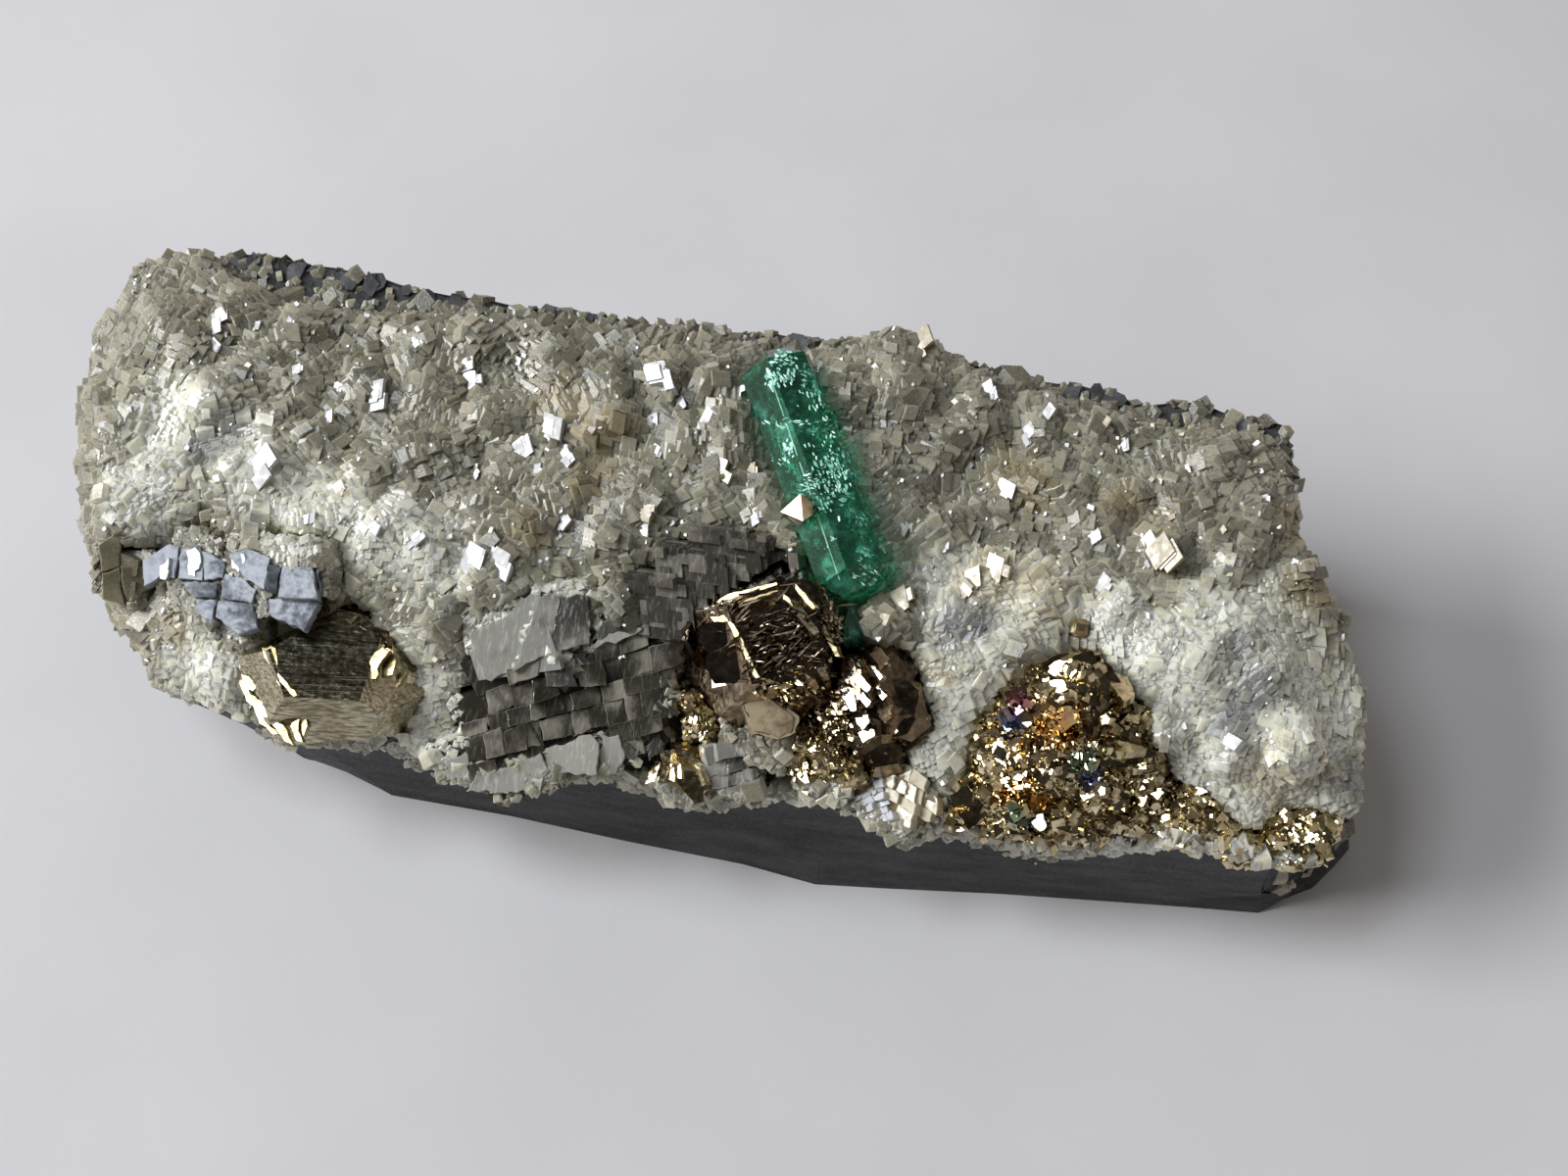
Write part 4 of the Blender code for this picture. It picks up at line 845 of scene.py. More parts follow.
GREIGE = calcite("druse_calcite", (0.27, 0.25, 0.183), (0.49, 0.465, 0.36), clear=0.35)
CRUST = calcite("crust_calcite", (0.27, 0.25, 0.185), (0.42, 0.40, 0.31), clear=0.0)
OLIVE = calcite("olive_calcite", (0.20, 0.18, 0.11), (0.34, 0.31, 0.21), clear=0.3)
# Whiter flash calcite for faces turned to mirror the window: the reflection is real, and their pale colour adds a
# painted highlight.
FLASH = mirror_calcite("flash_calcite", (0.74, 0.76, 0.80), (0.46, 0.46, 0.46), coat=0.2)
WARM_FLASH = mirror_calcite("warm_flash_calcite", (0.68, 0.62, 0.46), (0.42, 0.36, 0.23), coat=0.1)
# Mosaic calcite: bluish light for faces that mirror the cool sky panel, near black for faces that mirror the camera,
# picked per plate by its tone: painted reflection and painted shade.
MOSAIC = mirror_calcite("mosaic_calcite", (0.34, 0.37, 0.42), (0.06, 0.07, 0.085), ior=1.42)
BLOCKY = clear_calcite("blocky_calcite", (0.40, 0.37, 0.30), (0.12, 0.105, 0.075), clear=0.7, density=200.0)
SHEET = clear_calcite("sheet_calcite", (0.47, 0.46, 0.41), (0.12, 0.115, 0.10), clear=0.45, flaws=1.0)
SMOKY = clear_calcite("smoky_calcite", (0.26, 0.24, 0.20), (0.12, 0.11, 0.09))
CLEAR = clear_calcite("clear_calcite", (0.55, 0.55, 0.50), (0.35, 0.34, 0.29))
PALE = clear_calcite("pale_calcite", (0.66, 0.66, 0.62), (0.42, 0.42, 0.39), clear=0.3, flaws=0.8)
SWIRL = mirror_calcite("swirl_calcite", (0.46, 0.38, 0.25), (0.10, 0.065, 0.035), ior=1.45)
CREAM = clear_calcite("cream_calcite", (0.80, 0.73, 0.52), (0.34, 0.26, 0.14), clear=0.2)
EMERALD = emerald()
# Pale aqua for the emerald's etched patches and ridge strip; on patches turned to the window it is partly painted
# reflection.
FLAKE = mirror_calcite("emerald_flakes", (0.36, 0.78, 0.62), (0.10, 0.42, 0.30), ior=1.45)
GOLD = pyrite("pyrite", (0.80, 0.70, 0.46), (0.52, 0.43, 0.26))
BRONZE = pyrite("bronze_pyrite", (0.46, 0.36, 0.24), (0.16, 0.12, 0.085))
STRIATED = pyrite(
    "striated_pyrite", (0.62, 0.56, 0.41), (0.42, 0.37, 0.25), (0.10, 0.25), striation_shade=0.75, grain=0.12
)
GILT = pyrite("gilt_pyrite", (0.72, 0.62, 0.36), (0.42, 0.34, 0.18), (0.35, 0.55), striation_shade=0.4, grain=0.4)
# A whiter, silvery copy of pyrite for faces that mirror the window: painted highlight on top of the reflection.
HIGHLIGHT_PYRITE = pyrite("highlight_pyrite", (0.85, 0.82, 0.74), (0.66, 0.60, 0.48), (0.05, 0.15))
# A darker copy of pyrite for faces that show dark: they mirror dark parts of the room, and the darker metal adds
# painted shade.
SHADED_PYRITE = pyrite("shaded_pyrite", (0.42, 0.36, 0.28), (0.20, 0.16, 0.12), (0.05, 0.2))
RIM = calcite("rim_calcite", (0.36, 0.335, 0.25), (0.62, 0.59, 0.46), clear=0.5)
TARNISHED = pyrite(
    "tarnished_pyrite", (0.78, 0.68, 0.45), (0.30, 0.24, 0.14), (0.03, 0.14), tarnish=TARNISH
)
SHALE = shale("shale", (0.032, 0.033, 0.034), (0.072, 0.074, 0.078))
# Lighter blue-grey shale for the broken flakes: it paints the blue-grey sheen that they show, a painted highlight.
SHEEN_SHALE = shale("flake_sheen_shale", (0.036, 0.038, 0.040), (0.20, 0.205, 0.22))
PAPER = paper()


# ---------------------------------------------------------------- crystal meshes

AROUND = [2 * math.pi * k / 3 for k in range(3)]
RHOMB = np.array(
    [
        (math.cos(a) * math.sin(RHOMB_LEAN), math.sin(a) * math.sin(RHOMB_LEAN), math.cos(RHOMB_LEAN))
        for a in AROUND
    ]
)
CORNERS = np.array([(a, b, c) for a in (-1, 1) for b in (-1, 1) for c in (-1, 1)], float)
BLOCK_FACES = np.array(
    [(0, 1, 3, 2), (4, 6, 7, 5), (0, 4, 5, 1), (2, 3, 7, 6), (0, 2, 6, 4), (1, 5, 7, 3)]
)


def lattice(turn):
    """The three cleavage normals of a crystal that is turned by a rotation, as columns."""
    return np.asarray(turn.to_3x3()) @ RHOMB.T


def form_of(normals, distances):
    """Corners and faces of the convex crystal form that planes bound."""
    crystal = bmesh.new()
    bmesh.ops.create_cube(crystal, size=20.0)
    for normal, distance in zip(normals, distances):
        cut = bmesh.ops.bisect_plane(
            crystal,
            geom=crystal.verts[:] + crystal.edges[:] + crystal.faces[:],
            plane_co=Vector(normal).normalized() * distance,
            plane_no=normal,
            clear_outer=True,
        )
        rim = [item for item in cut["geom_cut"] if isinstance(item, bmesh.types.BMEdge)]
        bmesh.ops.edgeloop_fill(crystal, edges=rim)
    bmesh.ops.remove_doubles(crystal, verts=crystal.verts, dist=0.001)
    bmesh.ops.recalc_face_normals(crystal, faces=crystal.faces)
    crystal.verts.index_update()
    corners = np.array([vert.co for vert in crystal.verts])
    faces = [[vert.index for vert in face.verts] for face in crystal.faces]
    crystal.free()
    return corners, faces


class Crystals:
    """Many small convex crystals that become one mesh."""

    def __init__(self):
        self.verts = []
        self.faces = []
        self.tones = []
        self.guides = []
        self.count = 0

    def add(self, corners, faces, tone, guide=(0.0, 0.0, 1.0)):
        self.verts.append(corners)
        self.faces += [[self.count + i for i in face] for face in faces]
        self.tones += [tone] * len(corners)
        self.guides += [guide] * len(faces)
        self.count += len(corners)

    def add_block(self, axes, reaches, centre, tone, guide=(0.0, 0.0, 1.0)):
        """A cleavage block; the columns of axes are its three face normals."""
        inverse = np.linalg.inv(np.asarray(axes).T)
        faces = BLOCK_FACES if np.linalg.det(axes) > 0 else BLOCK_FACES[:, ::-1]
        self.add((CORNERS * reaches) @ inverse.T + np.asarray(centre), faces, tone, guide)

    def add_form(self, form, turn, reach, centre, tone):
        corners, faces = form
        self.add(corners @ np.asarray(turn).T * reach + np.asarray(centre), faces, tone)

    def piece(self, name, material, soften=0.0):
        """The mesh; soften leans its shading normals toward the guides, as light inside does."""
        obj = mesh_piece(name, np.concatenate(self.verts), self.faces, material, self.tones)
        if soften:
            mesh = obj.data
            normals = np.empty(len(mesh.polygons) * 3, np.float32)
            mesh.polygons.foreach_get("normal", normals)
            mixed = normals.reshape(-1, 3) * (1.0 - soften) + np.array(self.guides) * soften
            mixed /= np.linalg.norm(mixed, axis=1)[:, None]
            sides = [len(face) for face in self.faces]
            mesh.normals_split_custom_set(np.repeat(mixed, sides, axis=0).tolist())
        return obj


def cyclic(*values):
    """The three cyclic orders of values with every choice of sign, without repeats."""
    found = set()
    for shift in range(3):
        order = values[shift:] + values[:shift]
        for x in (1, -1):
            for y in (1, -1):
                for z in (1, -1):
                    found.add((order[0] * x + 0.0, order[1] * y + 0.0, order[2] * z + 0.0))
    return sorted(found)


PYRITOHEDRON = form_of(cyclic(2, 1, 0), [1.0] * 12)
CUBE = form_of(cyclic(1, 0, 0), [1.0] * 6)
OCTAHEDRON = form_of(cyclic(1, 1, 1), [0.85] * 8)


def mesh_arrays(obj):
    """Triangle corners, areas and normals of an object's mesh."""
    mesh = obj.data
    mesh.calc_loop_triangles()
    points = np.array([vert.co for vert in mesh.vertices])
    corners = points[np.array([tri.vertices for tri in mesh.loop_triangles])]
    cross = np.cross(corners[:, 1] - corners[:, 0], corners[:, 2] - corners[:, 0])
    double = np.linalg.norm(cross, axis=1)
    return corners, double / 2, cross / np.maximum(double, 1e-12)[:, None]


def sample(obj, count, rng, keep):
    """Points spread over an object's surface, with normals, where keep(normals) is true."""
    corners, areas, normals = mesh_arrays(obj)
    chosen = keep(normals)
    corners, areas, normals = corners[chosen], areas[chosen], normals[chosen]
    picks = rng.choice(len(areas), count, p=areas / areas.sum())
    u = np.sqrt(rng.random(count))[:, None]
    v = rng.random(count)[:, None]
    tri = corners[picks]
    points = tri[:, 0] * (1 - u) + tri[:, 1] * (u * (1 - v)) + tri[:, 2] * (u * v)
    return points, normals[picks]


class Spacing:
    """Keeps points apart: each has a reach, and no two come nearer than a share of both."""

    def __init__(self, cell, share):
        self.cell = cell
        self.share = share
        self.grid = {}

    def free(self, point, reach):
        key = tuple(int(math.floor(c / self.cell)) for c in point)
        for i in (-1, 0, 1):
            for j in (-1, 0, 1):
                for k in (-1, 0, 1):
                    for other, size in self.grid.get((key[0] + i, key[1] + j, key[2] + k), ()):
                        if (other - point).length < self.share * (reach + size):
                            return False
        self.grid.setdefault(key, []).append((point, reach))
        return True


# ---------------------------------------------------------------- druse


def crust():
    """The druse's body: the CAD crust with its lumps smoothed away, which the crystals cover."""
    mesh = NODES["calcite_druse"].data.copy()
    obj = bpy.data.objects.new("druse_crust", mesh)
    bpy.context.scene.collection.objects.link(obj)
    remesh = obj.modifiers.new("remesh", "REMESH")
    remesh.mode = "VOXEL"
    remesh.voxel_size = CRUST_VOXEL
    smooth = obj.modifiers.new("smooth", "SMOOTH")
    smooth.factor = 0.5
    smooth.iterations = CRUST_SMOOTHING
    graph = bpy.context.evaluated_depsgraph_get()
    settled = bpy.data.meshes.new_from_object(obj.evaluated_get(graph))
    obj.modifiers.clear()
    obj.data = settled
    settled.name = "druse_crust"
    settled.materials.clear()
    settled.materials.append(CRUST)
    attribute = settled.attributes.new("tone", "FLOAT", "POINT")
    tones = [0.45 + 0.5 * noise.noise(vert.co / (2.5 * MM)) for vert in settled.vertices]
    attribute.data.foreach_set("value", tones)
    for face in settled.polygons:
        face.use_smooth = True
    return finish_piece(obj, "calcite", "calcite_druse")


def crystal_size(point, rng):
    """Centre to face of a druse crystal at a place, in metres."""
    patch = noise.noise(point / (5.0 * MM))
    middle = 0.25 + 0.09 * patch
    if share_of(point, MILKY_AT) > 0.6:
        middle *= 0.68
    return min(middle * math.exp(rng.normal(0.0, 0.33)), LARGEST) * MM


def spun(normal, lean, rng):
    """A rotation that takes +Z to within an angle of a normal, with any spin about it."""
    turn = Vector(normal).to_track_quat("Z", "Y").to_matrix()
    tip = Matrix.Rotation(rng.uniform(0.0, lean), 3, "X")
    spin = Matrix.Rotation(rng.uniform(0.0, 2 * math.pi), 3, "Z")
    about = Matrix.Rotation(rng.uniform(0.0, 2 * math.pi), 3, "Z")
    return turn @ about @ tip @ spin


class Patches:
    """Patches of the druse whose crystals stand nearly parallel, as if from one seed."""

    def __init__(self, body, count, rng):
        points, normals = sample(body, count, rng, lambda n: n[:, 2] > -0.3)
        self.turns = [spun(normal, math.radians(55), rng) for normal in normals]
        self.tree = KDTree(count)
        for k, point in enumerate(points):
            self.tree.insert(point, k)
        self.tree.balance()

    def turn(self, place, normal, rng):
        if rng.random() < LONERS:
            return spun(normal, math.radians(60), rng)
        sway = noise.noise_vector(place / (1.5 * MM)) * PATCH_EDGE
        _, k, _ = self.tree.find(place + sway)
        axis = Vector(rng.normal(0.0, 1.0, 3)).normalized()
        return Matrix.Rotation(rng.uniform(0.0, PATCH_SPREAD), 3, axis) @ self.turns[k]


def druse_crystals(body, taken):
    """Small calcite rhombs all over the crust, in three sizes of piece."""
    rng = np.random.default_rng(5)
    points, normals = sample(body, 110000, rng, lambda n: n[:, 2] > -0.2)
    patches = Patches(body, 150, rng)
    candidates = []
    for point, normal in zip(points, normals):
        place = Vector(point)
        candidates.append((crystal_size(place, rng), place, Vector(normal)))
    candidates.sort(key=lambda item: -item[0])
    spacing = Spacing(2.4 * MM, 0.62)
    for place, reach in taken:
        spacing.free(place, reach)
    groups = (Crystals(), Crystals(), Crystals())
    for reach, place, normal in candidates:
        _, _, _, distance = LARGE.find_nearest(place, 3.0 * MM)
        if distance is not None and distance < 0.55 * reach:
            continue
        if not spacing.free(place, reach):
            continue
        axes = lattice(patches.turn(place, normal, rng))
        reaches = reach * rng.uniform(0.7, 1.3, 3)
        centre = place + normal * reach * rng.uniform(-0.75, -0.1)
        tone = float(np.clip(0.5 + rng.normal(0.0, 0.2) + 0.35 * noise.noise(place / (3.0 * MM)), 0, 1))
        group = groups[(reach < 0.31 * MM) + (reach < 0.22 * MM)]
        group.add_block(axes, reaches, centre, tone, tuple(normal))
    names = ("druse_crystals", "small_druse_crystals", "fine_druse_crystals")
    made = []
    for name, group in zip(names, groups):
        made.append(finish_piece(group.piece(name, GREIGE, SOFTENING), "calcite"))
    return made


def flash_axes(point, turn, loose=(0.0, 0.0, 0.0)):
    """A lattice with one face turned halfway between the camera and the window."""
    window = WINDOW_TOWARD * WINDOW_DISTANCE
    facing = (CAMERA_AT - point).normalized() + (window - point).normalized()
    facing = facing.normalized() + Vector(loose)
    along = Matrix.Rotation(turn, 3, facing) @ CAMERA_UP
    first, second = Vector(RHOMB[0]), Vector(RHOMB[1])
    return lattice(square_axes(facing, along) @ square_axes(first, second).transposed())


def flash_crystals(name, flashes, body_tree, material):
    """The larger faces that mirror the window: stepped groups of parallel blocks, whose pale colour is partly painted
    highlight.
    """
    rng = np.random.default_rng(9)
    blocks = Crystals()
    taken = []
    for x, y, half, turn in flashes:
        point, _ = seen_at(x, y, body_tree)
        if point is None:
            continue
        axes = flash_axes(point, math.radians(turn))
        steps = np.linalg.inv(axes.T)
        for _ in range(1 + int(half * 3.2)):
            shift = np.array((0.0, *rng.uniform(-0.5, 0.5, 2))) * half * MM
            rise = rng.uniform(-0.12, 0.12) * half * MM
            centre = np.asarray(point) + steps @ shift + axes[:, 0] * rise
            reaches = np.array((0.5, *rng.uniform(0.3, 0.75, 2))) * half * MM
            blocks.add_block(axes, reaches, centre, float(rng.random()))
        taken.append((point, 0.62 * half * MM))
    finish_piece(blocks.piece(name, material), "pale_calcite")
    return taken


def glints(druse):
    """Tiny clean faces among the crystals, which catch the window; their pale colour is partly painted highlight."""
    rng = np.random.default_rng(10)
    trees = [BVHTree.FromObject(obj, bpy.context.evaluated_depsgraph_get()) for obj in druse]
    cool = Crystals()
    warm = Crystals()
    for _ in range(GLINTS):
        x = rng.uniform(80, 1400)
        y = rng.uniform(250, 880)
        block, _ = seen_at(x, y)
        hits = [seen_at(x, y, tree)[0] for tree in trees]
        hits = [hit for hit in hits if hit is not None]
        if not hits or block is None:
            continue
        point = min(hits, key=lambda hit: (hit - CAMERA_AT).length)
        if (block - CAMERA_AT).length < (point - CAMERA_AT).length - 0.5 * MM:
            continue
        axes = flash_axes(point, rng.uniform(0, math.pi), rng.normal(0.0, 0.05, 3))
        half = math.exp(rng.normal(math.log(0.085), 0.45)) * MM
        reaches = np.array((0.6, *rng.uniform(0.6, 1.6, 2))) * half
        group = warm if rng.random() < 0.4 else cool
        group.add_block(axes, reaches, point, float(rng.random()))
    finish_piece(cool.piece("cool_glints", FLASH), "pale_calcite")
    finish_piece(warm.piece("warm_glints", WARM_FLASH), "pale_calcite")


# ---------------------------------------------------------------- faces seen in the photograph


def facing_normal(point, mirror, normal):
    """The normal that makes a face mirror something toward the camera."""
    if mirror == "surface":
        return normal
    toward = MIRRORS.get(mirror)
    if toward is None:
        toward = WINDOW_TOWARD * WINDOW_DISTANCE - point
    return ((CAMERA_AT - point).normalized() + toward.normalized()).normalized()


def add_plate(group, pixels, tree, mirror, tone, depth, rng, rough=0.0, loose=0.0, lift=0.04 * MM, bevel=0.0):
    """A plate whose outline the camera sees at the pixels; it lies on the surface under them.

    A bevel, in metres, chamfers its edge, and its tone then fades across it; the chamfer is painted lighter toward
    its outer edge, a painted highlight. The sides darken toward the plate's foot, as painted shade.
    """
    hits = [seen_at(*pixel, tree) for pixel in pixels]
    hits = [(point, normal) for point, normal in hits if point is not None]
    if len(hits) < 2:
        return
    centre = sum((point for point, _ in hits), Vector()) / len(hits)
    surface = sum((normal for _, normal in hits), Vector()).normalized()
    if mirror == "surface":
        view = (CAMERA_AT - centre).normalized()
        mirrored = surface * 2.0 * surface.dot(view) - view
        if mirrored.dot(WINDOW_TOWARD) > WINDOW_NEAR or mirrored.dot(SKY_TOWARD) > SKY_NEAR:
            mirror = "camera"
    normal = facing_normal(centre, mirror, surface)
    normal = (normal + Vector(rng.normal(0.0, 1.0, 3)) * loose).normalized()
    heights = [(point - centre).dot(normal) for point, _ in hits]
    plane = centre + normal * (0.6 * max(heights) + lift)
    corners = []
    for k, (x, y) in enumerate(pixels):
        nx, ny = pixels[(k + 1) % len(pixels)]
        steps = 1 + int(math.hypot(nx - x, ny - y) / 6.0) if rough else 1
        for step in range(steps):
            share = step / steps
            sway = rng.normal(0.0, rough, 2) if rough else (0.0, 0.0)
            ray = photo_ray(x + (nx - x) * share + sway[0], y + (ny - y) * share + sway[1])
            corners.append(CAMERA_AT + ray * ((plane - CAMERA_AT).dot(normal) / ray.dot(normal)))
    span = max(math.dist(pixel, pixels[0]) for pixel in pixels) / PIXELS_PER_MM * MM
    if max((corner - centre).length for corner in corners) > LONGEST * span:
        return
    area = sum((a.cross(b) for a, b in zip(corners, corners[1:] + corners[:1])), Vector())
    if area.dot(normal) < 0:
        corners.reverse()
    middle = sum(corners, Vector()) / len(corners)
    rings = [corners]
    tones = [[tone] * len(corners)]
    if bevel:
        fade = Vector(rng.normal(0.0, 1.0, 3))
        reach = max((corner - middle).length for corner in corners)
        rings = [[corner + (middle - corner).normalized() * bevel for corner in corners]]
        rings.append([corner - normal * bevel * 0.7 for corner in corners])
        slopes = [0.25 * fade.dot(corner - middle) / reach for corner in corners]
        # painted highlight: the chamfer grows lighter toward its outer edge
        tones = [[tone + slope for slope in slopes], [min(1.0, tone + 0.3)] * len(corners)]
    rings.append([corner - normal * depth for corner in corners])
    # painted shade: the sides darken toward the plate's buried foot
    tones.append([tone * 0.5] * len(corners))
    count = len(corners)
    faces = [list(range(count))]
    for start in range(0, count * (len(rings) - 1), count):
        for k in range(count):
            j = (k + 1) % count
            faces.append([start + k, start + count + k, start + count + j, start + j])
    last = count * (len(rings) - 1)
    faces.append(list(range(last + count - 1, last - 1, -1)))
    verts = [tuple(v) for ring in rings for v in ring]
    group.add(np.array(verts), faces, tone)
    group.tones[-len(verts) :] = [value for ring in tones for value in ring]


def traced(name, slot, material, nodes, plates, seed, depth=0.6, rough=0.6, bevel=0.0, lift=0.04):
    """A piece of the plates that were traced in the photograph; nodes may also be a tree."""
    rng = np.random.default_rng(seed)
    tree = tree_of(nodes) if isinstance(nodes, list) else nodes
    group = Crystals()
    for mirror, tone, pixels in plates:
        add_plate(
            group, pixels, tree, mirror, tone, depth * MM, rng, rough, 0.006, lift * MM, bevel * MM
        )
    return finish_piece(group.piece(name, material), slot)


def brickwork(
    name, slot, material, nodes, field, rows, columns, widths, heights, seed, tones, mirror,
    rise=0.34, loose=0.03,
):
    """Rows of cleavage blocks of uneven width and height, inside an outline in the photograph."""
    rng = np.random.default_rng(seed)
    tree = tree_of(nodes)
    group = Crystals()
    across = np.array((math.cos(math.radians(rows)), math.sin(math.radians(rows))))
    down = np.array((math.cos(math.radians(columns)), math.sin(math.radians(columns))))
    to_grid = np.linalg.inv(np.array((across, down)).T)
    spots = (to_grid @ np.array(field, float).T).T
    (left, top), (right, bottom) = spots.min(axis=0), spots.max(axis=0)
    v = top
    while v < bottom:
        height = rng.uniform(*heights)
        u = left - rng.uniform(0, widths[1])
        while u < right:
            width = rng.uniform(*widths)
            middle = across * (u + width / 2) + down * (v + height / 2)
            if inside(*middle, field):
                step = rng.uniform(-0.3, 0.3) * height
                pixels = []
                for a, b in ((0, 0), (1, 0), (1, 1), (0, 1)):
                    spot = across * (u + a * width - 0.4) + down * (v + b * height - 0.4 + 0.15 * step)
                    pixels.append(tuple(spot + rng.normal(0.0, 0.05, 2) * (width, height)))
                tone = float(rng.uniform(*tones))
                lift = rng.uniform(0.02, rise) * MM
                add_plate(group, pixels, tree, mirror, tone, 0.8 * MM, rng, 0.5, loose, lift, 0.05 * MM)
            u += width
        v += height
    return finish_piece(group.piece(name, material), slot)


def overgrowth(name, material, slot, nodes, bare, count, size, seed, lean=50):
    """Small calcite crystals over some nodes, but not where the photograph shows the nodes' faces."""
    rng = np.random.default_rng(seed)
    spacing = Spacing(2.0 * MM, 0.6)
    group = Crystals()
    for node in nodes:
        points, normals = sample(NODES[node], count, rng, lambda n: n[:, 2] > -0.4)
        for point, normal in zip(points, normals):
            pixel = pixel_of(point)
            reach = math.exp(rng.normal(math.log(size), 0.35)) * MM
            low = point[2] < 1.9 * MM
            if low or any(inside(*pixel, outline) for outline in bare) or not spacing.free(Vector(point), reach):
                continue
            axes = lattice(spun(normal, math.radians(lean), rng))
            centre = point + normal * reach * rng.uniform(-0.8, -0.1)
            tone = float(np.clip(rng.normal(0.5, 0.22), 0.0, 1.0))
            group.add_block(axes, reach * rng.uniform(0.7, 1.35, 3), centre, tone, tuple(normal))
    return finish_piece(group.piece(name, material, SOFTENING), slot)


def crowd(group, zones, tree, rng, depth):
    """Small irregular faces, scattered about places in the photograph."""
    for x, y, wide, high, turn, count, long, short, mirror in zones:
        for _ in range(count):
            at = np.array((x, y)) + rng.normal(0.0, 1.0, 2) * (wide, high)
            bearing = math.radians(turn + rng.normal(0.0, 18.0))
            along = np.array((math.cos(bearing), math.sin(bearing)))
            across = np.array((-along[1], along[0]))
            size = math.exp(rng.normal(0.0, 0.3)) * PIXELS_PER_MM
            sides = int(rng.integers(4, 7))
            start = rng.uniform(0, math.pi)
            pixels = []
            for k in range(sides):
                angle = start + 2 * math.pi * k / sides
                reach = rng.uniform(0.7, 1.2) * size
                offset = along * math.cos(angle) * long + across * math.sin(angle) * short
                pixels.append(tuple(at + offset * reach))
            tone = float(rng.random())
            add_plate(group, pixels, tree, mirror, tone, depth * MM, rng, 0.0, 0.06, 0.02 * MM)


def crowded(name, slot, material, nodes, zones, seed, depth=0.3):
    group = Crystals()
    crowd(group, zones, tree_of(nodes), np.random.default_rng(seed), depth)
    return finish_piece(group.piece(name, material), slot)


# ---------------------------------------------------------------- large calcite


def cleavage_normals(obj):
    """The face directions of a calcite node that hold most of its surface."""
    _, areas, normals = mesh_arrays(obj)
    found = []
    for area, normal in sorted(zip(areas, normals.tolist()), reverse=True):
        normal = Vector(normal)
        for entry in found:
            if abs(entry[1].dot(normal)) > 0.995:
                entry[0] += area
                break
        else:
            found.append([area, normal])
    found.sort(key=lambda entry: -entry[0])
    return [normal for _, normal in found[:6]]


def lattice_at(normal, candidates):
    """The cleavage normals of the block that a face with this normal belongs to, or None."""
    meet = math.cos(RHOMB_LEAN) ** 2 - 0.5 * math.sin(RHOMB_LEAN) ** 2
    close = [c for c in candidates if abs(abs(c.dot(normal)) - meet) < 0.05]
    for i, first in enumerate(close):
        for second in close[i + 1 :]:
            if abs(abs(first.dot(second)) - meet) < 0.05:
                return np.array([normal, first, second]).T
    return None


def cleavage_steps(name, node, material, slot, count, reach, rise, seed):
    """Thin plates in a node's own lattice that lie on its faces, as broken cleavage does."""
    rng = np.random.default_rng(seed)
    obj = NODES[node]
    points, normals = sample(obj, count, rng, lambda n: n[:, 2] > -0.2)
    candidates = cleavage_normals(obj)
    plates = Crystals()
    for point, normal in zip(points, normals):
        axes = lattice_at(Vector(normal), candidates)
        if axes is None:
            continue
        size = rng.uniform(*reach, 2) * MM
        height = rng.uniform(*rise) * MM
        reaches = np.array((0.3 * MM, *size))
        centre = point + normal * (height - 0.3 * MM)
        plates.add_block(axes, reaches, centre, float(rng.random()))
    return finish_piece(plates.piece(name, material), slot)


def rim_crystals():
    """Pale calcite along the front edge, where the crust ends over the shale."""
    rng = np.random.default_rng(51)
    group = Crystals()
    for (x, y), (next_x, next_y) in zip(RIM_PATH, RIM_PATH[1:]):
        length = math.hypot(next_x - x, next_y - y)
        for _ in range(int(length * 1.8)):
            share = rng.random()
            px = x + (next_x - x) * share + rng.normal(0, 2.0)
            py = y + (next_y - y) * share + rng.normal(-6.0, 4.0)
            point, normal = seen_at(px, py)
            if point is None:
                continue
            reach = math.exp(rng.normal(math.log(0.20), 0.35)) * MM
            axes = lattice(spun(normal, math.radians(50), rng))
            reaches = reach * rng.uniform(0.7, 1.4, 3)
            centre = point + normal * reach * rng.uniform(-0.7, -0.1)
            group.add_block(axes, reaches, centre, float(rng.uniform(0.3, 1.0)), tuple(normal))
    finish_piece(group.piece("rim_crystals", RIM, SOFTENING), "pale_calcite")


def swirl():
    """The curved growth layers of the swirled calcite, each a little smaller than the one below."""
    rng = np.random.default_rng(52)
    tree = tree_of(["swirled_calcite", "clear_calcite", "stepped_pyrite"])
    group = Crystals()
    edge = np.array(SWIRL_EDGE, float)
    middle = np.array(SWIRL_MIDDLE)
    for k in range(SWIRL_LAYERS):
        share = 1.0 - 0.85 * (k // 2 + 0.35 * (k % 2)) / SWIRL_LAYERS * 2
        pixels = [tuple(middle + (corner - middle) * share * rng.uniform(0.94, 1.06)) for corner in edge]
        tone = (0.0, 0.9)[k % 2] + rng.uniform(0.0, 0.1)
        lift = (0.05 + 0.05 * k) * MM
        add_plate(group, pixels, tree, "camera", tone, 0.5 * MM, rng, 0.7, 0.03, lift, 0.03 * MM)
    finish_piece(group.piece("swirled_layers", SWIRL), "pale_calcite")


# ---------------------------------------------------------------- emerald


